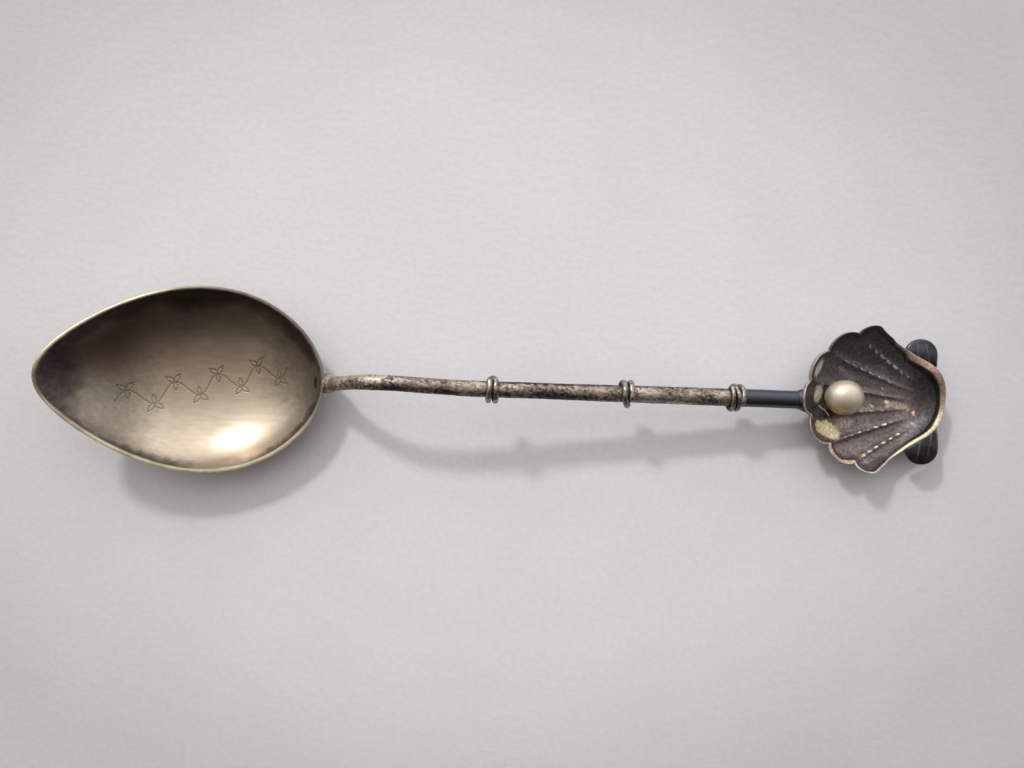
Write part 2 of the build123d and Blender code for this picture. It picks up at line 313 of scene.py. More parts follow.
class Shade:
    """Builds one node material, step by step."""

    def __init__(self, name):
        self.material = bpy.data.materials.new(name)
        self.material.use_nodes = True
        self.tree = self.material.node_tree
        self.tree.nodes.clear()
        self.surface = self.tree.nodes.new("ShaderNodeBsdfPrincipled")
        output = self.tree.nodes.new("ShaderNodeOutputMaterial")
        self.tree.links.new(self.surface.outputs["BSDF"], output.inputs["Surface"])
        self.place = self.node("TexCoord", {}, "Object")

    def node(self, kind, inputs, output=0, **settings):
        return add_node(self.tree, kind, inputs, output, **settings)

    def noise(self, size, detail, stretch=(1, 1, 1), roughness=0.5, vector=None):
        """Noise with features of this size in millimetres, drawn out by stretch."""
        unit = 1 if vector else 1 / MM
        scale = tuple(unit / size / s for s in stretch)
        scaled = self.node("VectorMath", {0: vector or self.place, 1: scale}, operation="MULTIPLY")
        inputs = {"Vector": scaled, "Scale": 1.0, "Detail": detail, "Roughness": roughness}
        return self.node("TexNoise", inputs, "Fac")

    def painted(self, name, output="Fac"):
        return self.node("Attribute", {}, output, attribute_name=name)

    def math(self, operation, a, b):
        return self.node("Math", {0: a, 1: b}, operation=operation)

    def remap(self, value, low, high, to_low=0.0, to_high=1.0):
        inputs = {"Value": value, "From Min": low, "From Max": high, "To Min": to_low, "To Max": to_high}
        return self.node("MapRange", inputs, "Result", interpolation_type="SMOOTHSTEP")

    def mix(self, share, a, b, blend="MIX"):
        return self.node("Mix", {0: share, 6: a, 7: b}, 2, data_type="RGBA", blend_type=blend)

    def between(self, noise, low, high):
        """Noise as a value that runs from low to high."""
        return self.remap(noise, 0.3, 0.7, low, high)

    def clouded(self, noise, a, b):
        """Noise as a colour that runs from a to b."""
        return self.mix(self.remap(noise, 0.35, 0.65), a, b)

    def brighten(self, colour, amount):
        return self.node("VectorMath", {0: colour, "Scale": amount}, operation="SCALE")

    def edges(self, low, high):
        """0 in crevices, 1 on rubbed edges."""
        return self.remap(self.node("NewGeometry", {}, "Pointiness"), low, high)

    def bump(self, height, depth, strength):
        return self.node("Bump", {"Strength": strength, "Distance": depth * MM, "Height": height}, "Normal")

    def finish(self, colour, roughness, metallic, normal):
        inputs = {"Base Color": colour, "Roughness": roughness, "Metallic": metallic, "Normal": normal}
        for name, value in inputs.items():
            feed(self.tree, self.surface.inputs[name], value)
        return self.material


def bowl_material():
    shade = Shade("bowl_tarnished_silver")
    cloud = shade.noise(7.0, 5.0)
    silver = shade.clouded(cloud, (0.48, 0.395, 0.30), (0.54, 0.45, 0.345))
    streak = shade.noise(0.5, 3.0, stretch=(9, 1, 1))
    silver = shade.brighten(silver, shade.between(streak, 0.93, 1.05))
    silver = shade.mix(shade.painted("blush"), silver, (0.42, 0.27, 0.24))
    speckle = shade.noise(0.7, 6.0, roughness=0.65)
    broken = shade.math("ADD", shade.painted("tarnish_and_shade"), shade.between(speckle, -0.07, 0.07))
    present = shade.remap(shade.painted("tarnish_and_shade"), 0.02, 0.25)
    tarnish_and_shade = shade.math("MULTIPLY", shade.remap(broken, 0.05, 0.95), present)
    dark = shade.clouded(speckle, (0.052, 0.041, 0.043), (0.11, 0.088, 0.083))
    colour = shade.mix(tarnish_and_shade, silver, dark)
    colour = shade.mix(shade.math("MULTIPLY", shade.painted("cut"), 0.5), colour, (0.12, 0.085, 0.06))
    # The rim is painted bright cream and made less metallic: partly rubbed metal, partly a painted
    # highlight.
    rim_noise = shade.remap(shade.noise(1.2, 4.0), 0.35, 0.6)
    rim = shade.mix(rim_noise, (0.74, 0.67, 0.40), (0.93, 0.86, 0.58))
    colour = shade.mix(shade.painted("rim"), colour, rim)
    duller = shade.math("MULTIPLY", tarnish_and_shade, 0.12)
    rough = shade.math("ADD", shade.between(cloud, 0.28, 0.33), duller)
    scratch = shade.noise(0.22, 3.0, stretch=(14, 1, 1))
    metallic = shade.remap(shade.painted("rim"), 0.0, 1.0, 1.0, 0.35)
    return shade.finish(colour, rough, metallic, shade.bump(scratch, 0.006, 0.6))


def stem_material():
    shade = Shade("stem_worn_silver")
    speckle = shade.noise(0.34, 6.0, stretch=(1.5, 1, 1), roughness=0.68)
    worn = shade.math("ADD", shade.painted("worn"), shade.remap(speckle, 0.34, 0.66, -0.38, 0.38))
    cloud = shade.remap(shade.noise(2.2, 4.0), 0.38, 0.62)
    cream = shade.mix(cloud, (0.34, 0.27, 0.225), (0.53, 0.455, 0.37))
    colour = shade.mix(shade.remap(worn, 0.10, 0.40), (0.045, 0.038, 0.04), (0.19, 0.15, 0.13))
    colour = shade.mix(shade.remap(worn, 0.42, 0.85), colour, cream)
    colour = shade.mix(shade.painted("neck"), colour, (0.075, 0.08, 0.10))
    colour = shade.brighten(colour, shade.remap(shade.edges(0.44, 0.56), 0, 1, 0.75, 1.2))
    smoother = shade.math("MULTIPLY", shade.painted("neck"), 0.2)
    rough = shade.math("SUBTRACT", shade.remap(worn, 0.2, 0.8, 0.55, 0.5), smoother)
    return shade.finish(colour, rough, 0.85, shade.bump(speckle, 0.03, 0.5))


def wire_material():
    shade = Shade("wire_worn_silver")
    speckle = shade.noise(0.5, 5.0, roughness=0.6)
    bright = shade.math("ADD", shade.painted("outer"), shade.between(speckle, -0.22, 0.22))
    colour = shade.mix(shade.remap(bright, 0.25, 0.8), (0.035, 0.03, 0.03), (0.15, 0.135, 0.125))
    colour = shade.mix(shade.remap(bright, 0.8, 1.15), colour, (0.38, 0.35, 0.315))
    rough = shade.remap(bright, 0.2, 0.9, 0.5, 0.36)
    return shade.finish(colour, rough, 0.95, shade.bump(speckle, 0.03, 0.4))


def shell_material():
    shade = Shade("shell_brown_patina")
    streak = shade.noise(1.0, 4.0, stretch=(0.10, 0.9, 1), vector=shade.painted("polar", "Color"))
    grit = shade.noise(0.35, 5.0, roughness=0.65)
    streaks, grains = shade.remap(streak, 0.28, 0.72, 0.66, 1.32), shade.between(grit, 0.72, 1.28)
    colour = shade.brighten(shade.painted("tint", "Color"), shade.math("MULTIPLY", streaks, grains))
    smoother = shade.math("MULTIPLY", shade.painted("shine"), 0.08)
    rough = shade.math("SUBTRACT", shade.between(grit, 0.48, 0.40), smoother)
    metallic = shade.remap(shade.painted("shine"), 0.0, 1.0, 0.72, 0.15)
    return shade.finish(colour, rough, metallic, shade.bump(shade.math("ADD", streak, grit), 0.02, 0.5))


def ear_material():
    shade = Shade("ear_blue_black_patina")
    cloud = shade.noise(1.3, 5.0)
    grit = shade.noise(0.3, 4.0)
    colour = shade.clouded(cloud, (0.04, 0.040, 0.048), (0.085, 0.086, 0.098))
    colour = shade.mix(shade.painted("line"), colour, (0.34, 0.33, 0.31))
    colour = shade.mix(shade.painted("edge"), colour, (0.42, 0.37, 0.28))
    rough = shade.between(grit, 0.3, 0.42)
    return shade.finish(colour, rough, 1.0, shade.bump(grit, 0.015, 0.4))


def solder_material(name, light):
    shade = Shade(name)
    cloud = shade.noise(0.6, 5.0)
    colour = shade.clouded(cloud, tuple(0.35 * c for c in light), light)
    rough = shade.between(cloud, 0.5, 0.32)
    return shade.finish(colour, rough, 1.0, shade.bump(cloud, 0.04, 0.5))


def cement_material():
    shade = Shade("old_pearl_cement")
    cloud = shade.noise(0.5, 4.0)
    colour = shade.clouded(cloud, (0.30, 0.23, 0.14), (0.55, 0.47, 0.33))
    return shade.finish(colour, 0.7, 0.0, shade.bump(cloud, 0.05, 0.5))


def pearl_material():
    shade = Shade("pearl_nacre")
    cloud = shade.noise(1.6, 5.0)
    cream = shade.clouded(cloud, (0.64, 0.555, 0.425), (0.73, 0.65, 0.515))
    colour = shade.mix(shade.painted("gold"), cream, (0.62, 0.40, 0.15))
    # Painted shade: the pearl is painted darker towards its outline, where it reflects its dark
    # surroundings.
    grazing_shade = shade.node("LayerWeight", {"Blend": 0.3}, "Facing")
    colour = shade.mix(shade.math("MULTIPLY", grazing_shade, 0.55), colour, (0.38, 0.32, 0.29))
    nacre = {
        "Coat Weight": 0.25,
        "Coat Roughness": 0.22,
        "Subsurface Weight": 0.12,
        "Subsurface Radius": (1.0, 0.75, 0.5),
        "Subsurface Scale": 1.0 * MM,
    }
    for name, value in nacre.items():
        feed(shade.tree, shade.surface.inputs[name], value)
    rough = shade.between(cloud, 0.36, 0.42)
    return shade.finish(colour, rough, 0.48, shade.bump(shade.noise(0.25, 3.0), 0.004, 0.3))


# Painted fall-off of the light on the paper, in metres. It is faster up and down the picture, by the
# squash.
PAPER_MIDDLE = (0.032, 0.003)
PAPER_REACH = 0.092
PAPER_SQUASH = 1.4


def paper_material():
    shade = Shade("pale_paper")
    fibre = shade.noise(0.8, 5.0)
    cloud = shade.noise(18.0, 3.0)
    paper = shade.mix(shade.remap(fibre, 0.3, 0.7), (0.755, 0.745, 0.775), (0.785, 0.775, 0.805))
    paper = shade.brighten(paper, shade.between(cloud, 0.985, 1.015))
    # The sheet is painted darker away from its middle, a painted pool of light, and is a little warmer on
    # the left.
    squash = (1.0, PAPER_SQUASH, 1.0)
    squashed = shade.node("VectorMath", {0: shade.place, 1: squash}, operation="MULTIPLY")
    middle = (PAPER_MIDDLE[0], PAPER_MIDDLE[1] * PAPER_SQUASH, 0)
    away = shade.node("VectorMath", {0: squashed, 1: middle}, "Value", operation="DISTANCE")
    light_falloff = shade.math("POWER", shade.math("MULTIPLY", away, 1 / PAPER_REACH), 2.4)
    paper = shade.brighten(paper, shade.remap(light_falloff, 0.0, 1.0, 1.0, 0.75))
    warmth = shade.remap(shade.node("SeparateXYZ", {0: shade.place}, "X"), -0.03, 0.04, 1.0, 0.0)
    paper = shade.mix(warmth, paper, (1.0, 0.985, 0.955), blend="MULTIPLY")
    return shade.finish(paper, 0.85, 0.0, shade.bump(fibre, 0.10, 0.35))


# ---------------------------------------------------------------- bowl

def wall_curve(q, wall_share):
    """Share of the depth climbed at q, the squared distance from the middle of a dish in rim widths."""
    return (1 - wall_share) * q + wall_share * q**3


def bowl_rim_z(x):
    return RIM_LOW_Z + RIM_SWEEP * (x - RIM_LOW_X) ** 2


def bowl_half_width(along):
    return BOWL_HALF_WIDTH + BOWL_HEEL_FULLNESS * along + BOWL_END_TAPER * along**2


def bowl_inside_z(x, y):
    along = (x - BOWL_MIDDLE_X) / BOWL_HALF_LENGTH
    q = along**2 + (y / bowl_half_width(along)) ** 2
    return bowl_rim_z(x) - BOWL_DEPTH * (1 - wall_curve(q, BOWL_WALL_SHARE))


def leaf_strokes(base, direction_deg, length, half_width):
    """The two curved sides of a pointed leaf."""
    along = np.array([math.cos(math.radians(direction_deg)), math.sin(math.radians(direction_deg))])
    across = np.array([-along[1], along[0]])
    share = np.linspace(0, 1, 12)[:, None]
    bulge = half_width * np.sin(math.pi * share**0.8)
    return [base + along * length * share + side * across * bulge for side in (1, -1)]


def ornament_strokes():
    """Lines of the engraved band, in millimetres along and across it: a running vine with leaves."""
    turns = 2 * BAND_WAVES
    along = np.linspace(0, BAND_LENGTH, 161)
    across = BAND_HALF_HEIGHT * np.sin(math.pi * turns * along / BAND_LENGTH)
    strokes = [np.stack([along, across], axis=1)]
    for k in range(turns):
        side = 1 if k % 2 == 0 else -1
        crest = np.array([(k + 0.5) * BAND_LENGTH / turns, side * BAND_HALF_HEIGHT])
        for direction, length, half_width in BAND_LEAVES:
            strokes += leaf_strokes(crest, side * direction, length, half_width)
    return strokes


def wriggled(stroke):
    """The zigzag that a rocked graver leaves along a line."""
    s = travelled(stroke)
    count = max(int(s[-1] / WRIGGLE_PITCH), 2)
    at = s[-1] * np.arange(count + 1) / count
    u, v = np.interp(at, s, stroke[:, 0]), np.interp(at, s, stroke[:, 1])
    du, dv = np.gradient(u), np.gradient(v)
    length = np.maximum(np.hypot(du, dv), 1e-6)
    sway = np.where(np.arange(count + 1) % 2, 1, -1) * WRIGGLE_WIDTH / 2
    return np.stack([u - dv / length * sway, v + du / length * sway], axis=1)


def engraved(x, y):
    """0 away from the engraved band's lines, 1 in the middle of a line."""
    turn = math.radians(BAND_TURN_DEG)
    dx, dy = x - BAND_CENTRE[0], y - BAND_CENTRE[1]
    u = dx * math.cos(turn) + dy * math.sin(turn) + BAND_LENGTH / 2
    v = -dx * math.sin(turn) + dy * math.cos(turn)
    # Only points near the band, and near each piece of a line, are measured.
    inside = (u > -1) & (u < BAND_LENGTH + 1) & (np.abs(v) < 3)
    iu, iv = u[inside], v[inside]
    near = np.full(len(iu), np.inf)
    search = 0.45
    for stroke in ornament_strokes():
        line = wriggled(stroke)
        for (u0, v0), (u1, v1) in zip(line, line[1:]):
            close = (np.abs(iu - (u0 + u1) / 2) < search) & (np.abs(iv - (v0 + v1) / 2) < search)
            if not close.any():
                continue
            pu, pv, eu, ev = iu[close] - u0, iv[close] - v0, u1 - u0, v1 - v0
            t = np.clip((pu * eu + pv * ev) / (eu * eu + ev * ev + 1e-12), 0, 1)
            near[close] = np.minimum(near[close], np.hypot(pu - t * eu, pv - t * ev))
    result = np.zeros(len(x))
    result[inside] = smoothstep((CUT_HALF_WIDTH - near) / CUT_HALF_WIDTH + 0.35)
    return result


def disc_grid(n_along, n_across):
    """A grid drawn on the unit disc, and the order of its edge points round the rim."""
    s = np.linspace(-1, 1, n_along + 1)
    t = np.linspace(-1, 1, n_across + 1)
    gs, gt = np.meshgrid(s, 0.85 * t + 0.15 * t**3, indexing="ij")
    px, py = gs * np.sqrt(1 - gt**2 / 2), gt * np.sqrt(1 - gs**2 / 2)
    index = np.arange(px.size).reshape(px.shape)
    rim = [*index[:, 0], *index[-1, 1:], *index[-2::-1, -1], *index[0, -2:0:-1]]
    return px.ravel(), py.ravel(), index, [int(k) for k in rim]


# Cross-section of the bowl's rim: share of the way out, and height above the rim's curve.
RIM_PROFILE = (
    (0.05, 0.04), (0.16, 0.07), (0.34, 0.085), (0.55, 0.083), (0.75, 0.065), (0.9, 0.03), (1.0, -0.05),
    (0.985, -0.14),
)
# How bright the rim of the bowl is painted, partly rubbed metal and partly painted highlight, against the
# direction seen from its middle (0 is the heel).
RIM_RUB_AND_SHEEN_DEGS = (0, 12, 30, 70, 95, 110, 150, 168, 180, 192, 205, 240, 300, 330, 348, 360)
RIM_RUB_AND_SHEEN_TONES = (0.25, 0.30, 0.14, 0.14, 0.35, 0.85, 1.0, 0.55, 0.25, 0.4, 0.8, 1.0, 1.0, 0.9, 0.55, 0.25)


def bowl_tarnish_and_shade_map(x, y, edge):
    """Where dark tarnish gathers inside the bowl, with painted shade low on the right towards the heel.
    edge is the distance in from the rim, in millimetres.
    """
    points = flat_points(x, y)
    blotches = fractal_noise(points, 3.0, 50)
    fine = fractal_noise(points, 1.1, 51)
    upper = smoothstep((y + 1) / 5) * smoothstep((3.9 + blotches - edge) / 3.6)
    tip = 0.64 * smoothstep((-6.0 + blotches - x) / 8.0)
    tip += 0.36 * smoothstep((-17.0 + 0.8 * fine - x) / 2.6)
    low = smoothstep(-y / 3)
    lower = 0.8 * low * smoothstep((-x - 1) / 6) * smoothstep((1.35 + 0.5 * fine - edge) / 1.5)
    # Low on the right towards the heel, the darkening near the rim is partly tarnish and partly painted
    # shade that dims a highlight on the curved wall.
    lower_right_tarnish_and_shade = 0.75 * low * smoothstep((x + 2) / 5) * smoothstep((1.4 + 0.5 * fine - edge) / 1.3)
    heel = 0.55 * smoothstep((x + 1.5 + 1.5 * fine) / 10) * smoothstep((y + 8) / 7)
    mark = spot(x, y, (11.0, 0.1), 0.42, 1.15, spread=1.35)
    total = np.max([0.85 * upper, 0.9 * tip, lower, lower_right_tarnish_and_shade, heel, mark], axis=0)
    return np.clip(total, 0, 1)


def build_bowl(material):
    n_along, n_across = ((440, 320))
    coarse_step = 4
    px, py, index, rim = disc_grid(n_along, n_across)
    x = BOWL_MIDDLE_X + px * BOWL_HALF_LENGTH
    y = py * bowl_half_width(px)
    base = np.stack([x, y, bowl_inside_z(x, y)], axis=1)
    normals = surface_normals(bowl_inside_z, x, y)
    radius = np.sqrt(px**2 + py**2)
    from_middle = np.hypot(BOWL_HALF_LENGTH * px, bowl_half_width(px) * py)
    edge = (1 - radius) * from_middle / np.maximum(radius, 1e-6)
    waves = 0.018 * value_noise(base, 4.5, 0) + 0.005 * value_noise(base, 1.4, 1)
    cut = engraved(x, y)
    lift = waves * smoothstep(edge / 1.5) - CUT_DEPTH * cut
    points = [base + normals * lift[:, None]]
    faces = grid_faces(index)

    # The rim runs outwards, level with the rim curve, until it meets the outside of the sheet.
    rim_points, rim_normals = base[rim], normals[rim]
    outward = -rim_normals[:, :2] / np.linalg.norm(rim_normals[:, :2], axis=1)[:, None]
    low, high = np.zeros(len(rim)), np.full(len(rim), 2.0)
    for _ in range(24):
        middle = (low + high) / 2
        tx, ty = (rim_points[:, :2] + outward * middle[:, None]).T
        lean = surface_normals(bowl_inside_z, tx, ty)[:, 2]
        inside_metal = bowl_inside_z(tx, ty) - BOWL_SHEET / lean < bowl_rim_z(tx)
        low, high = np.where(inside_metal, middle, low), np.where(inside_metal, high, middle)
    wear = 1 + 0.2 * value_noise(rim_points, 3.0, 2)
    rim_degrees = np.degrees(np.arctan2(py[rim], px[rim])) % 360
    rim_rub_and_sheen = np.interp(rim_degrees, RIM_RUB_AND_SHEEN_DEGS, RIM_RUB_AND_SHEEN_TONES)
    rim_rub_and_sheen *= 0.85 + 0.15 * value_noise(rim_points, 2.0, 3)
    # The light catches the top of the rim along the bottom, and only its outer half elsewhere.
    rubbed_and_lit_from = 0.38 - 0.34 * smoothstep((-py[rim] - 0.2) / 0.5)
    rim_paint = [np.zeros(len(base))]
    for out_share, up in RIM_PROFILE:
        flat = rim_points[:, :2] + outward * (high * out_share)[:, None]
        points.append(np.column_stack([flat, bowl_rim_z(flat[:, 0]) + up * wear]))
        rim_paint.append(rim_rub_and_sheen * smoothstep((out_share - rubbed_and_lit_from) / 0.3))
    points.append(rim_points - rim_normals * BOWL_SHEET)
    rim_paint.append(np.zeros(len(rim)))
    starts = [len(base) + k * len(rim) for k in range(len(RIM_PROFILE) + 1)]
    loops = [rim, *(list(range(start, start + len(rim))) for start in starts)]
    bridge(faces, loops)

    # The underside has a coarser grid. Its edge meets every fourth point of the last loop.
    last = loops[-1]
    place_in_last = {int(k): i for i, k in enumerate(rim)}
    fine = index[::coarse_step, ::coarse_step]
    on_edge = np.ones(fine.shape, bool)
    on_edge[1:-1, 1:-1] = False
    inner = fine[~on_edge]
    under = base[inner] - normals[inner] * BOWL_SHEET
    under[:, 2] = np.maximum(under[:, 2], 0.0)
    points.append(under)
    rim_paint.append(np.zeros(len(inner)))
    mapping = np.zeros(fine.shape, int)
    mapping[on_edge] = [last[place_in_last[int(k)]] for k in fine[on_edge]]
    mapping[~on_edge] = last[-1] + 1 + np.arange(len(inner))
    n, first = len(last), last[0]
    for i in range(fine.shape[0] - 1):
        for j in range(fine.shape[1] - 1):
            face = []
            corners = ((i, j), (i, j + 1), (i + 1, j + 1), (i + 1, j))
            for a, b in zip(corners, corners[1:] + corners[:1]):
                face.append(int(mapping[a]))
                if not (on_edge[a] and on_edge[b]):
                    continue
                ia, ib = int(mapping[a]) - first, int(mapping[b]) - first
                for sign in (1, -1):
                    if (ib - ia) * sign % n == coarse_step:
                        face.extend(last[(ia + sign * m) % n] for m in range(1, coarse_step))
            faces.append(tuple(face))

    verts = np.concatenate(points)

    def on_inside(values, outside=0.0):
        return np.concatenate([values, np.full(len(verts) - len(base), outside)])

    blush = 0.55 * spot(x, y, (-15.5, 2.6), 2.6, 2.2) + 0.25 * spot(x, y, (-9.5, 3.5), 5.0, 2.5)
    paints = {
        # The rim and the outside count as fully tarnished; the outside's dark colour is partly painted
        # shade, keeping the paper under the bowl dark.
        "tarnish_and_shade": on_inside(bowl_tarnish_and_shade_map(x, y, edge), 1.0),
        "cut": on_inside(cut),
        "blush": on_inside(blush),
        "rim": np.concatenate(rim_paint),
    }
    mesh_object("bowl_dish", verts, faces, material, "bowl", paints)


# ---------------------------------------------------------------- stem and wires

def stem_line_z(x):
    start_x, start_z = STEM_STRAIGHT_START
    return start_z - (x - start_x) * math.tan(math.radians(STEM_SLOPE_DEG))


def stem_centre_line(count):
    """Points along the stem, and its radius at each."""
    rise, slope = math.radians(STEM_ROOT_DEG), math.radians(STEM_SLOPE_DEG)
    root_along = np.array([math.cos(rise), 0, math.sin(rise)])
    along = np.array([math.cos(slope), 0, -math.sin(slope)])
    p0 = np.array([STEM_ROOT[0], 0, STEM_ROOT[1]])
    p3 = np.array([STEM_STRAIGHT_START[0], 0, STEM_STRAIGHT_START[1]])
    p1, p2 = p0 + STEM_ROOT_PULL * root_along, p3 - STEM_ARCH_PULL * along
    arch = bezier(np.linspace(0, 1, 400), p0, p1, p2, p3)
    arch_s = travelled(arch)
    taper = (STEM_TAPER_END_X - p3[0]) / math.cos(slope)
    s = np.linspace(-STEM_ROOT_OVERRUN, arch_s[-1] + (STEM_END_X - p3[0]) / math.cos(slope), count)
    points = np.stack([np.interp(s, arch_s, arch[:, k]) for k in range(3)], axis=1)
    points += root_along * np.minimum(s, 0)[:, None] + along * np.maximum(s - arch_s[-1], 0)[:, None]
    places = np.linspace(0, arch_s[-1], len(ARCH_RADII))
    radii = np.interp(s, [*places, arch_s[-1] + taper], [*ARCH_RADII, STEM_END_RADIUS])
    return points, radii


# How much darker the stem's flanks are, against the place along it.
DARKER_BELOW = (
    (14, 20, 26, 31, 33, 36, 42, 46, 50, 52, 56, 64),
    (0.1, 0.35, 0.5, 0.42, 0.2, 0.25, 0.4, 0.35, 0.2, 0.05, 0.1, 0.15),
)
DARKER_ABOVE = ((31, 34, 50, 52, 56, 64), (0.0, 0.5, 0.5, 0.2, 0.15, 0.25))


def stem_wear(body, outward):
    """How bright the stem is: rubbed patches along it, and darker on its flanks and underneath."""
    x = body[:, 0]
    turn = np.arctan2(outward[:, 1], outward[:, 2])
    unrolled = flat_points(x * 0.55, turn * 1.1)
    worn = 0.5 + 0.42 * fractal_noise(unrolled, 1.3, 60) + 0.22 * fractal_noise(body, 0.6, 64)
    lower_flank = smoothstep((-outward[:, 1] - 0.15) / 0.6)
    upper_flank = smoothstep((outward[:, 1] - 0.62) / 0.3)
    worn += 0.16 - np.interp(x, *DARKER_BELOW) * lower_flank - np.interp(x, *DARKER_ABOVE) * upper_flank
    worn -= 0.2 * smoothstep((x - 38) / 2) * smoothstep((47 - x) / 2)
    worn -= 0.6 * smoothstep(-outward[:, 2] / 0.5)
    return np.clip(worn, 0, 1)


def stop_at_shell(verts):
    """Draws the end of the stem back so that every line along it stops inside the shell's sheet."""
    drop = math.tan(math.radians(STEM_SLOPE_DEG))
    start, first_wall_x, sunk, from_margin = STEM_FREE_END_X, 73.5, 0.25, 0.1
    end = verts[:, 0] > start
    x, y, z = verts[end].T
    ahead = np.linspace(first_wall_x, STEM_END_X, 120)[:, None]
    line_z = z[None, :] - (ahead - x[None, :]) * drop
    across = np.broadcast_to(y, line_z.shape)
    wall_z = dish_z(ahead, across) - SHELL_SHEET / surface_normals(dish_z, ahead, across)[..., 2]
    on_shell = np.hypot(FAN_X - ahead, across) < LOBE_REACHES[3] - from_margin
    stopped = on_shell & (line_z > wall_z + sunk)
    limit = np.where(stopped.any(axis=0), ahead[np.argmax(stopped, axis=0), 0], STEM_END_X)
    moved = start + (x - start) * (limit - start) / (STEM_END_X - start)
    verts = verts.copy()
    verts[end] = np.stack([moved, y, z + (x - moved) * drop], axis=1)
    return verts


def build_stem(material):
    count, sides = ((680, 72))
    points, radii = stem_centre_line(count)
    x, still = points[:, 0], np.zeros(count)
    flat = flat_points(x, still)
    sway = [still, 0.05 * value_noise(flat, 9.0, 3), 0.03 * value_noise(flat, 7.0, 4)]
    free = smoothstep((x - 15) / 5) * smoothstep((STEM_FREE_END_X - x) / 4)
    bow = STEM_BOW * smoothstep((x - STEM_ROOT[0]) / 5) * smoothstep((34 - x) / 13)
    points = points + np.stack([still, bow, still], axis=1) + np.stack(sway, axis=1) * free[:, None]
    verts, faces, centres = tube(points, radii, sides, (0, 1, 0))
    outward = verts - centres
    outward /= np.maximum(np.linalg.norm(outward, axis=1), 1e-6)[:, None]
    neck = smoothstep((verts[:, 0] - STEM_NECK_X - 0.5 * value_noise(verts, 0.8, 9)) / 0.6)
    worn = stem_wear(verts, outward)
    dents = 0.022 * value_noise(verts, 2.2, 5) + 0.010 * value_noise(verts, 0.8, 6)
    pits = -0.035 * smoothstep((0.42 - worn) / 0.3)
    verts = verts + outward * ((dents + pits) * (1 - 0.88 * neck))[:, None]
    verts = stop_at_shell(verts)
    paints = {"worn": worn, "neck": neck}
    mesh_object("stem_rod", verts, faces, material, "stem", paints)


def build_knuckle(number, plan, material):
    slope = math.radians(STEM_SLOPE_DEG)
    along = np.array([math.cos(slope), 0, -math.sin(slope)])
    side = np.array([0, 1.0, 0])
    upward = np.cross(along, side)
    # The stem grows thicker towards the shell, and the wire has to clear its thick side.
    thick_x, start_x = plan["x"] + 0.9, STEM_STRAIGHT_START[0]
    share = (thick_x - start_x) / (STEM_TAPER_END_X - start_x)
    stem_radius = ARCH_RADII[-1] + (STEM_END_RADIUS - ARCH_RADII[-1]) * min(share, 1)
    winding = stem_radius + WIRE_GAP + plan["radius"]
    origin = np.array([plan["x"], 0, stem_line_z(plan["x"])])
    n, sides = ((280, 30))
    before, crossing, after = plan["wind_degs"]
    turned = np.linspace(0, before + crossing + after, n)
    crossed = smoothstep((turned - before) / crossing)
    angle = np.radians(plan["start_deg"] + turned)
    wobble = 0.04 * np.sin(np.radians(turned) * 2.3 + number)
    line = origin + winding * (np.cos(angle)[:, None] * side + np.sin(angle)[:, None] * upward)
    line += along * (plan["pitch"] * (crossed - 0.5) + wobble)[:, None]
    # The ends are melted into small balls.
    cap = np.linspace(0, math.pi / 2, 9)[1:]
    steps = np.linalg.norm(np.diff(line, axis=0), axis=1)
    start_way = (line[0] - line[1]) / steps[0]
    end_way = (line[-1] - line[-2]) / steps[-1]
    from_end = np.minimum(np.cumsum([0, *steps]), np.cumsum([0, *steps[::-1]])[::-1])
    radii = plan["radius"] * (1 + 0.16 * np.exp(-((from_end - 0.1) / 0.35) ** 2))
    end_radius = radii[0]
    line = np.concatenate([
        line[0] + start_way * (end_radius * np.sin(cap))[::-1, None],
        line,
        line[-1] + end_way * (end_radius * np.sin(cap))[:, None],
    ])
    cap_radii = end_radius * np.maximum(np.cos(cap), 0.04)
    radii = np.concatenate([cap_radii[::-1], radii, cap_radii])
    verts, faces, centres = tube(line, radii, sides, along)
    outward = verts - centres
    bumps = 0.05 * value_noise(verts, 0.9, 20 + number)
    bumps += 0.03 * value_noise(verts, 0.35, 30 + number)
    verts = verts + outward * bumps[:, None]
    from_axis = verts - origin
    from_axis -= along * (from_axis @ along)[:, None]
    outer = smoothstep((np.linalg.norm(from_axis, axis=1) - stem_radius - 0.22) / 0.42)
    name, replaced = f"knuckle_{number}_wire", f"knuckle_wire_{number}"
    mesh_object(name, verts, faces, material, replaced, {"outer": outer})


# ---------------------------------------------------------------- shell

def dish_z(x, y):
    along = (x - SHELL_MIDDLE_X) / SHELL_HALF_LENGTH
    half_width = SHELL_HALF_WIDTH - SHELL_NOSE_NARROWING * along - SHELL_END_TAPER * along**2
    q = along**2 + (y / half_width) ** 2
    rim_z = SHELL_RIM_Z + SHELL_RIM_TILT * (x - SHELL_MIDDLE_X)
    return rim_z - SHELL_DEPTH * (1 - wall_curve(q, SHELL_WALL_SHARE))


def arc_through(a, b, c, count):
    """Points of the arc from a through b to c, in the plane, without its last point."""
    (ax, ay), (bx, by), (cx, cy) = a, b, c
    d = 2 * (ax * (by - cy) + bx * (cy - ay) + cx * (ay - by))
    sa, sb, sc = ax**2 + ay**2, bx**2 + by**2, cx**2 + cy**2
    ux = (sa * (by - cy) + sb * (cy - ay) + sc * (ay - by)) / d
    uy = (sa * (cx - bx) + sb * (ax - cx) + sc * (bx - ax)) / d
    angles = np.unwrap([math.atan2(p[1] - uy, p[0] - ux) for p in (a, b, c)])
    t = np.linspace(angles[0], angles[2], count)[:-1]
    r = math.hypot(ax - ux, ay - uy)
    return np.stack([ux + r * np.cos(t), uy + r * np.sin(t)], axis=1)


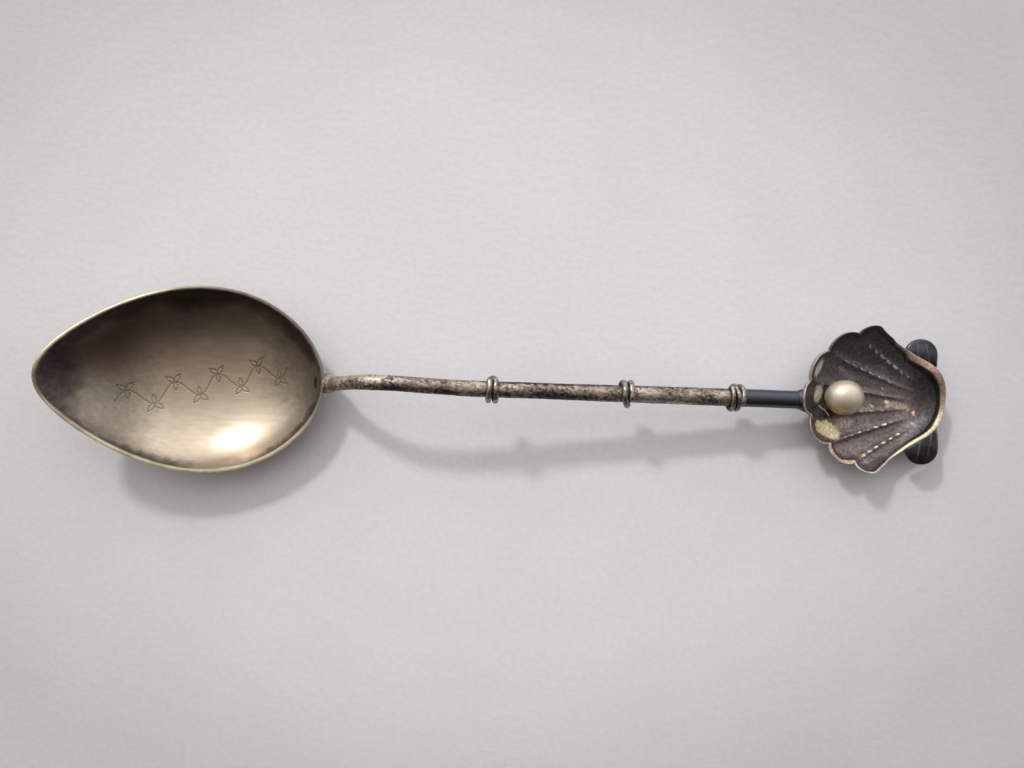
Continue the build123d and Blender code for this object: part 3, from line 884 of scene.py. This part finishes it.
def fan_point(flutes, reach):
    """A point this many flutes from the right-hand flank, at this reach from the centre of the fan."""
    angle = math.radians(FAN_TURN_DEG + FLUTE_DEG * (flutes - len(LOBE_REACHES) / 2))
    return (FAN_X - reach * math.cos(angle), reach * math.sin(angle))


NOTCHES = [fan_point(i + 1, reach) for i, reach in enumerate(NOTCH_REACHES)]


def shell_outline():
    """The lobed margin in plan, clockwise seen from above, starting at the right-hand shoulder."""
    tips = [fan_point(i + 0.5, reach) for i, reach in enumerate(LOBE_REACHES)]
    corners = [SHOULDERS[0], *NOTCHES, SHOULDERS[1]]
    pieces = [arc_through(a, tip, b, 60) for a, tip, b in zip(corners, tips, corners[1:])]
    pieces.append(np.linspace(SHOULDERS[1], NOSE_ENDS[1], 60)[:-1])
    pieces.append(arc_through(NOSE_ENDS[1], NOSE_TIP, NOSE_ENDS[0], 120))
    pieces.append(np.linspace(NOSE_ENDS[0], SHOULDERS[0], 60)[:-1])
    return np.concatenate(pieces)


def ridge_places(x, y):
    """For each ridge: the points' distance along it from the focus, and to its side, and its length."""
    rows = []
    for notch in NOTCHES:
        way = np.array(notch) - RIDGE_FOCUS
        length = np.linalg.norm(way)
        way /= length
        dx, dy = x - RIDGE_FOCUS[0], y - RIDGE_FOCUS[1]
        rows.append((dx * way[0] + dy * way[1], dy * way[0] - dx * way[1], length))
    return rows


# Chased dashes on each ridge: how far from the focus they start and stop, the distance from one to the
# next, how bright they are, and their colour.
DASHES = (
    {"from": 7.2, "to": 13.6, "pitch": 1.16, "bright": 1.0, "colour": (0.98, 0.84, 0.52)},
    {"from": 7.4, "to": 14.6, "pitch": 1.20, "bright": 0.9, "colour": (0.90, 0.87, 0.78)},
    {"from": 7.4, "to": 13.0, "pitch": 1.45, "bright": 0.7, "colour": (0.95, 0.82, 0.58)},
    {"from": 7.6, "to": 14.6, "pitch": 1.30, "bright": 0.35, "colour": (0.60, 0.56, 0.52)},
    {"from": 7.6, "to": 15.6, "pitch": 1.35, "bright": 0.55, "colour": (0.62, 0.54, 0.47)},
    {"from": 6.4, "to": 14.2, "pitch": 1.15, "bright": 0.75, "colour": (0.66, 0.58, 0.53)},
)


def dash_masks(x, y):
    """For each ridge, 1 on its dashes and 0 elsewhere."""
    masks = []
    for i, ((reach, offset, _), dash) in enumerate(zip(ridge_places(x, y), DASHES)):
        phase = reach / dash["pitch"] + 0.37 * i
        number = np.floor(phase)
        chance = np.modf(np.abs(np.sin(number * 12.9898 + i * 78.233)) * 437.5)[0]
        along = phase - number - 0.5
        long = smoothstep((0.20 + 0.14 * chance - np.abs(along)) / 0.07)
        aside = np.abs(offset + 0.08 * (chance - 0.5) + 0.12 * along)
        thin = smoothstep((0.17 + 0.05 * chance - aside) / 0.08)
        span = smoothstep((reach - dash["from"]) / 0.3) * smoothstep((dash["to"] - reach) / 0.3)
        masks.append(long * thin * span * (0.45 + 0.55 * chance))
    return masks


def ridge_height(x, y):
    tallest = np.zeros(len(x))
    for reach, offset, length in ridge_places(x, y):
        share = np.clip((reach - RIDGE_START) / (length - RIDGE_START), 0, 1.05)
        width = 0.24 + 0.24 * share
        shape = np.exp(-np.abs(offset / width) ** 1.7)
        tallest = np.maximum(tallest, RIDGE_HEIGHT * share**0.8 * shape)
    return tallest


def flute_number(x, y):
    """Which lobe a point lies in, counted from the right-hand flank: 0 to 1 in the first, and so on."""
    degrees = np.degrees(np.arctan2(y, FAN_X - x))
    return (degrees - FAN_TURN_DEG) / FLUTE_DEG + len(LOBE_REACHES) / 2


def on_lobes(flute, softness):
    """1 over the lobes, 0 over the flanks and the nose."""
    return smoothstep((flute + 0.1) / softness) * smoothstep((len(LOBE_REACHES) + 0.1 - flute) / softness)


# Width of the flat rim, against the direction seen from the middle of the shell (0 is the nose).
RIM_DEGS = (-100, -77, -47, -21, 0, 13, 37, 55, 62, 78, 104)
RIM_WIDTHS = (0.08, 0.16, 0.34, 0.50, 0.56, 0.62, 0.82, 0.85, 0.42, 0.28, 0.12)
RIM_COLOURS = (
    (0.72, 0.66, 0.56), (0.80, 0.71, 0.54), (0.84, 0.71, 0.45), (0.74, 0.61, 0.38), (0.50, 0.40, 0.28),
    (0.40, 0.31, 0.24), (0.44, 0.29, 0.24), (0.33, 0.20, 0.17), (0.28, 0.19, 0.16), (0.26, 0.19, 0.16),
    (0.12, 0.10, 0.10),
)
# Colour of the thin line along the margin of each lobe, from the right-hand flank round to the left.
LOBE_EDGE_COLOURS = (
    (0.74, 0.68, 0.60), (0.78, 0.56, 0.42), (0.52, 0.37, 0.31), (0.50, 0.46, 0.41), (0.40, 0.37, 0.32),
    (0.13, 0.10, 0.11), (0.15, 0.10, 0.10),
)
LOBE_EDGE_WIDTHS = (0.14, 0.40, 0.24, 0.16, 0.20, 0.2, 0.2)
# Rubbed and tarnished patches, the brightest of them partly painted highlights: centre, half length, half
# width, turn in degrees, colour and strength.
PATCHES = (
    ((78.5, -3.8), 1.75, 0.95, -22, (0.80, 0.68, 0.42), 1.0),
    ((81.0, -2.9), 1.3, 0.75, 15, (0.42, 0.35, 0.29), 0.8),
    ((78.9, -1.6), 1.5, 0.55, 15, (0.06, 0.055, 0.055), 0.8),
    ((77.0, 1.0), 0.62, 1.25, -12, (0.90, 0.87, 0.74), 1.0),
    ((76.7, 4.4), 0.48, 1.35, -18, (0.82, 0.78, 0.64), 0.95),
    ((80.5, 4.1), 0.9, 0.45, -35, (0.40, 0.35, 0.35), 0.7),
    ((81.8, 3.2), 0.8, 0.4, -10, (0.32, 0.28, 0.27), 0.6),
    ((88.2, -0.3), 1.6, 0.42, -8, (0.46, 0.36, 0.27), 0.8),
    ((86.9, 0.1), 0.30, 0.24, 0, (0.98, 0.84, 0.58), 1.0),
    ((87.1, -0.45), 0.20, 0.14, 30, (0.98, 0.80, 0.50), 1.0),
    ((84.9, -0.45), 0.30, 0.12, -40, (0.85, 0.76, 0.60), 0.9),
    ((83.45, -0.5), 0.26, 0.20, -20, (0.95, 0.88, 0.70), 1.0),
    ((86.3, 1.9), 0.22, 0.12, -50, (0.74, 0.66, 0.58), 0.9),
    ((87.6, 7.3), 0.24, 0.20, 50, (0.62, 0.62, 0.60), 0.9),
)
# A patch whose colour adds up to more than this shines; these bright patches are partly painted highlights.
BRIGHT_PATCH = 1.2
# Thin white scratches: their two ends, and half their width.
WHITE_LINES = (
    ((77.3, -0.7), (78.2, -1.3), 0.08),
    ((78.2, -1.3), (78.7, -2.0), 0.06),
    ((75.5, -1.7), (76.2, -2.5), 0.06),
)
UNDERSIDE_COLOUR = (0.16, 0.13, 0.115)


def shell_paint(x, y, edge, rim_width, rim_colour):
    """Colour and shine of the inside of the shell."""
    points = flat_points(x, y)
    cloud = fractal_noise(points, 2.4, 70)
    fine = fractal_noise(points, 0.7, 73)
    flute = flute_number(x, y)
    colour = lerp((0.20, 0.165, 0.158), (0.19, 0.18, 0.195), smoothstep((y + 0.5 + cloud) / 5))
    # Painted shade: darker to the right of the nose, where the wall would catch a bright reflection, and
    # darker still in the nose, whose wall faces away from the light.
    right_of_nose_shade = smoothstep((x - 82.5) / 5) * smoothstep((-y - 0.8) / 3.5)
    colour = lerp(colour, (0.085, 0.072, 0.07), 0.8 * right_of_nose_shade)
    colour = lerp(colour, (0.06, 0.056, 0.06), 0.85 * smoothstep((x - 88.8) / 2.2))
    colour = lerp(colour, (0.30, 0.245, 0.225), 0.6 * smoothstep((cloud + 0.4 * fine - 0.15) / 0.4))
    shine = np.zeros(len(x))
    for (cx, cy), half_length, half_width, turn, patch, strength in PATCHES:
        c, s = math.cos(math.radians(turn)), math.sin(math.radians(turn))
        u, v = (x - cx) * c + (y - cy) * s, (y - cy) * c - (x - cx) * s
        size = min(half_length, half_width)
        away = np.hypot(u / half_length, v / half_width) + 0.28 * fine + 0.15 * cloud
        share = strength * smoothstep((1.15 - away) * size / 0.35 + 0.3)
        colour = lerp(colour, patch, share)
        shine = np.maximum(shine, share * (sum(patch) > BRIGHT_PATCH))
    # A painted glint, orange, near the nose.
    painted_glint = spot(x, y, (89.9, -1.2), 1.1, 0.55, spread=1.3) * smoothstep((fine - 0.1) / 0.25)
    colour = lerp(colour, (0.95, 0.62, 0.38), 0.8 * painted_glint)
    for mask, dash in zip(dash_masks(x, y), DASHES):
        share = mask * dash["bright"]
        colour = lerp(colour, dash["colour"], share)
        shine = np.maximum(shine, share)
    for (x0, y0), (x1, y1), half_width in WHITE_LINES:
        ex, ey = x1 - x0, y1 - y0
        t = np.clip(((x - x0) * ex + (y - y0) * ey) / (ex * ex + ey * ey), 0, 1)
        away = np.hypot(x - x0 - t * ex, y - y0 - t * ey) + 0.04 * fine
        share = smoothstep((half_width - away) / 0.06 + 0.5)
        colour = lerp(colour, (0.86, 0.83, 0.75), share)
        shine = np.maximum(shine, share)
    lobe = np.clip(np.floor(flute), 0, len(LOBE_REACHES) - 1).astype(int)
    lobed = on_lobes(flute, 0.1)
    line_width = np.array(LOBE_EDGE_WIDTHS)[lobe] * (1 + 0.3 * fine)
    line = lobed * smoothstep((line_width - edge) / 0.08 + 0.5)
    colour = lerp(colour, np.array(LOBE_EDGE_COLOURS)[lobe] * (1 + 0.25 * cloud[:, None]), line)
    groove = lobed * np.exp(-((edge - line_width - 0.16) / 0.1) ** 2)
    colour = lerp(colour, (0.035, 0.03, 0.03), 0.75 * groove)
    band = (1 - lobed) * smoothstep((rim_width * (1 + 0.06 * fine) - edge) / 0.07 + 0.5)
    colour = lerp(colour, rim_colour * (1 + 0.18 * cloud[:, None] + 0.12 * fine[:, None]), band)
    outer = (1 - lobed) * smoothstep((0.08 - edge) / 0.05 + 0.5) * smoothstep((y + 3) / 3)
    colour = lerp(colour, (0.50, 0.42, 0.28), 0.6 * outer)
    under_band = (1 - lobed) * np.exp(-((edge - rim_width - 0.14) / 0.12) ** 2)
    colour = lerp(colour, (0.03, 0.028, 0.03), 0.7 * under_band)
    shine = np.max([shine, 0.6 * line, 0.8 * band], axis=0)
    return np.clip(colour, 0.01, 1), shine


def build_shell(material):
    outline = shell_outline()
    closed = np.vstack([outline, outline[:1]])
    s = travelled(closed)
    n_round, n_reach = ((1100, 190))
    at = np.linspace(0, s[-1], n_round, endpoint=False)
    margin = np.stack([np.interp(at, s, closed[:, 0]), np.interp(at, s, closed[:, 1])], axis=1)
    centre = np.array(GRID_CENTRE)
    shares = np.linspace(0, 1, n_reach + 1)[1:] ** 0.8
    grid = centre + (margin - centre)[None, :, :] * shares[:, None, None]
    x = np.concatenate([[centre[0]], grid[:, :, 0].ravel()])
    y = np.concatenate([[centre[1]], grid[:, :, 1].ravel()])

    tree = kdtree.KDTree(n_round)
    for i, (mx, my) in enumerate(margin):
        tree.insert((mx, my, 0), i)
    tree.balance()
    nearest = [tree.find((px, py, 0)) for px, py in zip(x, y)]
    edge = np.array([distance for _, _, distance in nearest])
    near_x, near_y = margin[[i for _, i, _ in nearest]].T
    degrees = np.degrees(np.arctan2(near_y, near_x - RIM_CENTRE_X))
    rim_width = np.interp(degrees, RIM_DEGS, RIM_WIDTHS)
    rim_colour = np.stack([np.interp(degrees, RIM_DEGS, channel) for channel in zip(*RIM_COLOURS)], axis=1)
    lobed = on_lobes(flute_number(near_x, near_y), 0.15)

    base = dish_z(x, y)
    lean = surface_normals(dish_z, x, y)[:, 2]
    ridges = ridge_height(x, y)
    # The lip of each lobe curls up, has a shallow trough inside it, and dies away at the notches.
    lip = lobed * (0.42 * np.exp(-((edge / 0.55) ** 2)) - 0.10 * np.exp(-(((edge - 1.0) / 0.28) ** 2)))
    notch_dip = np.zeros(len(x))
    for nx, ny in NOTCHES:
        notch_dip = np.maximum(notch_dip, np.exp(-((np.hypot(x - nx, y - ny) / 0.55) ** 2)))
    lip *= 1 - 0.8 * notch_dip
    top = base + ridges + lip
    flat_rim = dish_z(near_x, near_y) - 0.22 * np.clip(edge / rim_width, 0, 1.5) ** 2
    on_rim = (1 - lobed) * smoothstep((rim_width + 0.2 - edge) / 0.28)
    top = np.where(flat_rim > top, top + (flat_rim - top) * on_rim, top)
    under = np.maximum(base + 0.8 * ridges + 0.6 * lip - SHELL_SHEET / lean, 0.0)

    points = flat_points(x, y)
    hand_worked = 0.030 * value_noise(points, 1.6, 40)
    hand_worked += 0.012 * value_noise(points, 0.5, 41)
    dash_heights = [0.10 if dash["bright"] > 0.5 else 0.07 for dash in DASHES]
    chased = np.max([mask * height for mask, height in zip(dash_masks(x, y), dash_heights)], axis=0)
    top = top + hand_worked * smoothstep(edge / 0.3) + chased
    count = len(x)
    rings = [[1 + k * n_round + i for i in range(n_round)] for k in range(n_reach)]
    faces = fan_faces(0, rings[0])
    bridge(faces, rings)
    faces += [tuple(count + k for k in face) for face in faces]
    inside, outside = np.column_stack([x, y, top]), np.column_stack([x, y, under])
    last = rings[-1]
    inner_edge, outer_edge = inside[last], outside[last]
    outward = np.column_stack([margin - centre, np.zeros(n_round)])
    outward /= np.linalg.norm(outward, axis=1)[:, None]
    colour, shine = shell_paint(x, y, edge, rim_width, rim_colour)
    tints = [colour, np.tile(UNDERSIDE_COLOUR, (count, 1))]
    steps = 6
    loops, edge_points = [last], []
    for k in range(1, steps):
        share = k / steps
        bulge = outward * (0.07 * math.sin(math.pi * share))
        edge_points.append(inner_edge + (outer_edge - inner_edge) * share + bulge)
        tints.append(lerp(colour[last], UNDERSIDE_COLOUR, np.full(n_round, share)))
        start = 2 * count + (k - 1) * n_round
        loops.append(list(range(start, start + n_round)))
    loops.append([count + k for k in last])
    bridge(faces, loops)

    # Distance and direction from the focus of the ridges, which the streaks follow.
    dx, dy = RIDGE_FOCUS[0] - x, y - RIDGE_FOCUS[1]
    polar = np.stack([np.hypot(dx, dy), np.degrees(np.arctan2(dy, dx)) * 0.2, 0 * x], axis=1)
    paints = {
        "tint": np.concatenate(tints),
        "shine": np.concatenate([shine, np.zeros(count), np.tile(0.5 * shine[last], steps - 1)]),
        "polar": np.concatenate([polar, polar, np.tile(polar[last], (steps - 1, 1))]),
    }
    verts = np.concatenate([inside, outside, *edge_points])
    mesh_object("shell_dish", verts, faces, material, "shell", paints)


# ---------------------------------------------------------------- ears and pearl

def outline_y(x, sign):
    """Where the shell's margin is at this x, on one side, over the flank and the nose."""
    outline = shell_outline()
    side = outline[(outline[:, 0] > FLANKS_START_X) & (outline[:, 1] * sign > 0)]
    order = np.argsort(side[:, 0])
    return np.interp(x, side[order, 0], np.abs(side[order, 1]))


def build_ear(name, end, material):
    end_x, end_y = end
    sign = math.copysign(1, end_y)
    half_width, corner, bevel = EAR_WIDTH / 2, EAR_CORNER_RADIUS, EAR_SHEET / 2
    n_across, n_along = ((64, 70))
    u = np.sin(np.linspace(-math.pi / 2, math.pi / 2, n_across + 1)) * half_width
    inset = corner - np.sqrt(np.maximum(corner**2 - np.maximum(np.abs(u) - half_width + corner, 0) ** 2, 0))
    tip = abs(end_y) - inset
    dome_y = abs(end_y) - half_width

    def dome_z(dx, y):
        return EAR_TOP_Z - EAR_DOME_RADIUS + np.sqrt(EAR_DOME_RADIUS**2 - dx**2 - (y - dome_y) ** 2)

    # Each line along the ear stops where its metal meets the outside of the shell's wall.
    reach = np.linspace(0, EAR_LENGTH, 500)[:, None]
    y_line = np.maximum(tip[None, :] - reach, 0.5)
    x_line = np.broadcast_to(end_x + u, y_line.shape)
    lean = surface_normals(dish_z, x_line, sign * y_line)[..., 2]
    wall_z = dish_z(x_line, sign * y_line) - SHELL_SHEET / lean
    under_shell = y_line < outline_y(end_x + u, sign)[None, :]
    stopped = under_shell & (dome_z(u[None, :], y_line) - 0.1 > wall_z)
    stop = np.where(stopped.any(axis=0), np.argmax(stopped, axis=0), len(reach) - 1)
    length = np.maximum(reach[np.maximum(stop - 4, 0), 0], 0.02)

    v = np.linspace(0, 1, n_along + 1) ** 1.4
    gy = tip[None, :] - length[None, :] * v[:, None]
    gx = np.broadcast_to(u, gy.shape)
    corner_x = np.maximum(np.abs(gx) - (half_width - corner), 0)
    corner_y = np.maximum(gy - (abs(end_y) - corner), 0)
    in_from_edge = np.minimum(corner - np.hypot(corner_x, corner_y), half_width - np.abs(gx))
    drop = bevel - np.sqrt(np.maximum(bevel**2 - np.maximum(bevel - in_from_edge, 0) ** 2, 0))
    middle = dome_z(gx, gy)
    points = np.stack([end_x + gx, sign * gy, middle], axis=-1).reshape(-1, 3)
    dents = 0.02 * value_noise(points, 1.1, 80)
    line_a = np.exp(-(((gx + 0.25 * half_width + 0.12 * gy) - 0.12 * dome_y) / 0.07) ** 2)
    line_b = np.exp(-(((gx - 0.35 * half_width + 0.2 * gy) - 0.2 * dome_y) / 0.06) ** 2)
    lines = ((line_a + line_b) * smoothstep((in_from_edge - 0.25) / 0.3)).ravel()
    top, bottom = points.copy(), points.copy()
    top[:, 2] += dents - drop.ravel() - 0.025 * lines
    bottom[:, 2] += drop.ravel() - EAR_SHEET
    index = np.arange(len(points)).reshape(gy.shape)
    faces = grid_faces(index) + grid_faces(index + len(points))
    rim = [int(k) for k in (*index[0, :], *index[1:, -1], *index[-1, -2::-1], *index[-2:0:-1, 0])]
    bridge(faces, [rim, [len(points) + k for k in rim]])
    chance = 0.5 + 0.5 * value_noise(points, 0.9, 81)
    across = gx / half_width
    nose_edge = smoothstep((across - 0.80) / 0.16) * smoothstep((0.75 - in_from_edge) / 0.4)
    end_edge = 0.6 * smoothstep((0.22 - in_from_edge) / 0.1) * smoothstep((across + 0.2) / 0.5)
    edge_paint = np.maximum(nose_edge.ravel() * (0.3 + 0.5 * chance), end_edge.ravel() * chance)
    edge_paint = np.concatenate([edge_paint, 0 * edge_paint])
    paints = {"line": np.tile(0.75 * lines * chance, 2), "edge": edge_paint}
    verts = np.concatenate([top, bottom])
    mesh_object(f"{name}_tab", verts, faces, material, name, paints)


def build_pearl(material):
    """A drop: half a sphere towards the nose, and a blunt tail towards the stem."""
    low, high = (np.array(corner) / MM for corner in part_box("pearl"))
    centre = np.array([high[0] - PEARL_RADIUS, (low[1] + high[1]) / 2, (low[2] + high[2]) / 2])
    n, sides = ((90, 128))
    t = np.linspace(0, 1, n)
    full, blunt, lean = PEARL_RADIUS, 0.55 * PEARL_RADIUS, 0.6 * PEARL_TAIL
    tail = bezier(t, (-PEARL_TAIL, 0), (-PEARL_TAIL, blunt), (-lean, full), (0, full))
    turn = np.linspace(math.pi / 2, 0, n)[1:]
    head = PEARL_RADIUS * np.stack([np.cos(turn), np.sin(turn)], axis=1)
    profile = np.concatenate([tail, head])[1:-1]
    angles = np.linspace(0, 2 * math.pi, sides, endpoint=False)
    verts = [centre + (-PEARL_TAIL, 0, 0), centre + (PEARL_RADIUS, 0, 0)]
    for px, pr in profile:
        verts += [centre + (px, pr * math.cos(a), pr * math.sin(a)) for a in angles]
    rings = [list(range(2 + k * sides, 2 + (k + 1) * sides)) for k in range(len(profile))]
    faces = fan_faces(0, rings[0]) + fan_faces(1, rings[-1][::-1])
    bridge(faces, rings)
    verts = np.array(verts)
    outward = (verts - centre) / np.linalg.norm(verts - centre, axis=1)[:, None]
    verts = verts + outward * (0.02 * value_noise(verts, 1.8, 90))[:, None]
    gold_side = outward @ PEARL_GOLD_WAY
    gold = smoothstep((gold_side + 0.12 * value_noise(verts, 1.2, 91) - 0.25) / 0.6)
    mesh_object("pearl_drop", verts, faces, material, "pearl", {"gold": 0.9 * gold})


# ---------------------------------------------------------------- build

build_bowl(bowl_material())
build_stem(stem_material())
wire = wire_material()
for number, plan in enumerate(KNUCKLES, start=1):
    build_knuckle(number, plan, wire)
build_shell(shell_material())
ear = ear_material()
for name, end in EARS.items():
    build_ear(name, end, ear)
build_pearl(pearl_material())

carried_over = {
    "bowl_solder": solder_material("solder_at_heel", (0.60, 0.54, 0.44)),
    "shell_solder": solder_material("solder_at_shell", (0.15, 0.14, 0.135)),
    "pearl_peg": solder_material("peg_silver_wire", (0.60, 0.58, 0.54)),
    "pearl_cement": cement_material(),
}
for node, material in carried_over.items():
    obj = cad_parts[node]
    obj.data.materials.clear()
    obj.data.materials.append(material)

# ---------------------------------------------------------------- floor, light, camera

FLOOR_REACH = 1.2
floor_mesh = bpy.data.meshes.new("floor")
corners = [(FLOOR_REACH * a, FLOOR_REACH * b, 0) for a, b in ((-1, -1), (1, -1), (1, 1), (-1, 1))]
floor_mesh.from_pydata(corners, [], [(0, 1, 2, 3)])
floor_mesh.materials.append(paper_material())
floor = bpy.data.objects.new("floor", floor_mesh)
floor.location.z = cad_bounds[0].z
bpy.context.scene.collection.objects.link(floor)

# A window, as a lamp of this width and height. Lengths from here on are in metres.
LIGHT_WAY = Vector((-0.640, 1.134, 1.0)).normalized()
LIGHT_AIM = Vector((0.035, 0.0, 0.0))
LIGHT_DISTANCE = 0.9
LIGHT_SIZE = (0.095, 0.075)
LIGHT_WATTS = 3.05
lamp_data = bpy.data.lights.new("window", "AREA")
lamp_data.shape = "RECTANGLE"
lamp_data.size, lamp_data.size_y = LIGHT_SIZE
lamp_data.energy = LIGHT_WATTS
lamp_data.color = (1.0, 0.985, 0.955)
lamp = bpy.data.objects.new("window", lamp_data)
lamp.location = LIGHT_AIM + LIGHT_WAY * LIGHT_DISTANCE
lamp.rotation_mode = "QUATERNION"
lamp.rotation_quaternion = (-LIGHT_WAY).to_track_quat("-Z", "Y")
bpy.context.scene.collection.objects.link(lamp)

# The room is bright on the window's side and dark on the other. Its tones run from the dark side (0) to
# the bright one (1).
ROOM_WAY = Vector((-0.12, 0.98, 0.10)).normalized()
ROOM_STRENGTH = 1.62
ROOM_TONES = (
    (0.0, (0.012, 0.010, 0.010)),
    (0.26, (0.040, 0.032, 0.032)),
    (0.41, (0.165, 0.140, 0.132)),
    (0.52, (0.31, 0.285, 0.26)),
    (0.62, (0.42, 0.41, 0.395)),
    (0.76, (0.80, 0.81, 0.82)),
    (1.0, (1.05, 1.05, 1.05)),
)
world = bpy.data.worlds.new("room")
world.use_nodes = True
tree = world.node_tree
background = tree.nodes["Background"]
direction = add_node(tree, "TexCoord", {}, "Generated")
toward = add_node(tree, "VectorMath", {0: direction, 1: ROOM_WAY}, "Value", operation="DOT_PRODUCT")
place = add_node(tree, "MapRange", {"Value": toward, "From Min": -1}, "Result")
ramp = tree.nodes.new("ShaderNodeValToRGB")
ramp.color_ramp.interpolation = "EASE"
first_stop, last_stop = ramp.color_ramp.elements
first_stop.color, last_stop.color = (*ROOM_TONES[0][1], 1), (*ROOM_TONES[-1][1], 1)
for position, tone in ROOM_TONES[1:-1]:
    ramp.color_ramp.elements.new(position).color = (*tone, 1)
tree.links.new(place, ramp.inputs["Fac"])
tree.links.new(ramp.outputs["Color"], background.inputs["Color"])
background.inputs["Strength"].default_value = ROOM_STRENGTH
bpy.context.scene.world = world

FIELD_OF_VIEW_DEG = 61.05
CAMERA_PLACE = (0.0366, 0.000775, 0.117)
CAMERA_TURN_DEG = 1.97
camera_data = bpy.data.cameras.new("camera")
camera_data.sensor_width = 36.0
camera_data.lens = camera_data.sensor_width / 2 / math.tan(math.radians(FIELD_OF_VIEW_DEG / 2))
camera_data.clip_start = 0.001
camera = bpy.data.objects.new("camera", camera_data)
camera.location = CAMERA_PLACE
camera.rotation_euler = (0, 0, math.radians(CAMERA_TURN_DEG))
bpy.context.scene.collection.objects.link(camera)
bpy.context.scene.camera = camera
bpy.context.scene.view_settings.view_transform = "Standard"
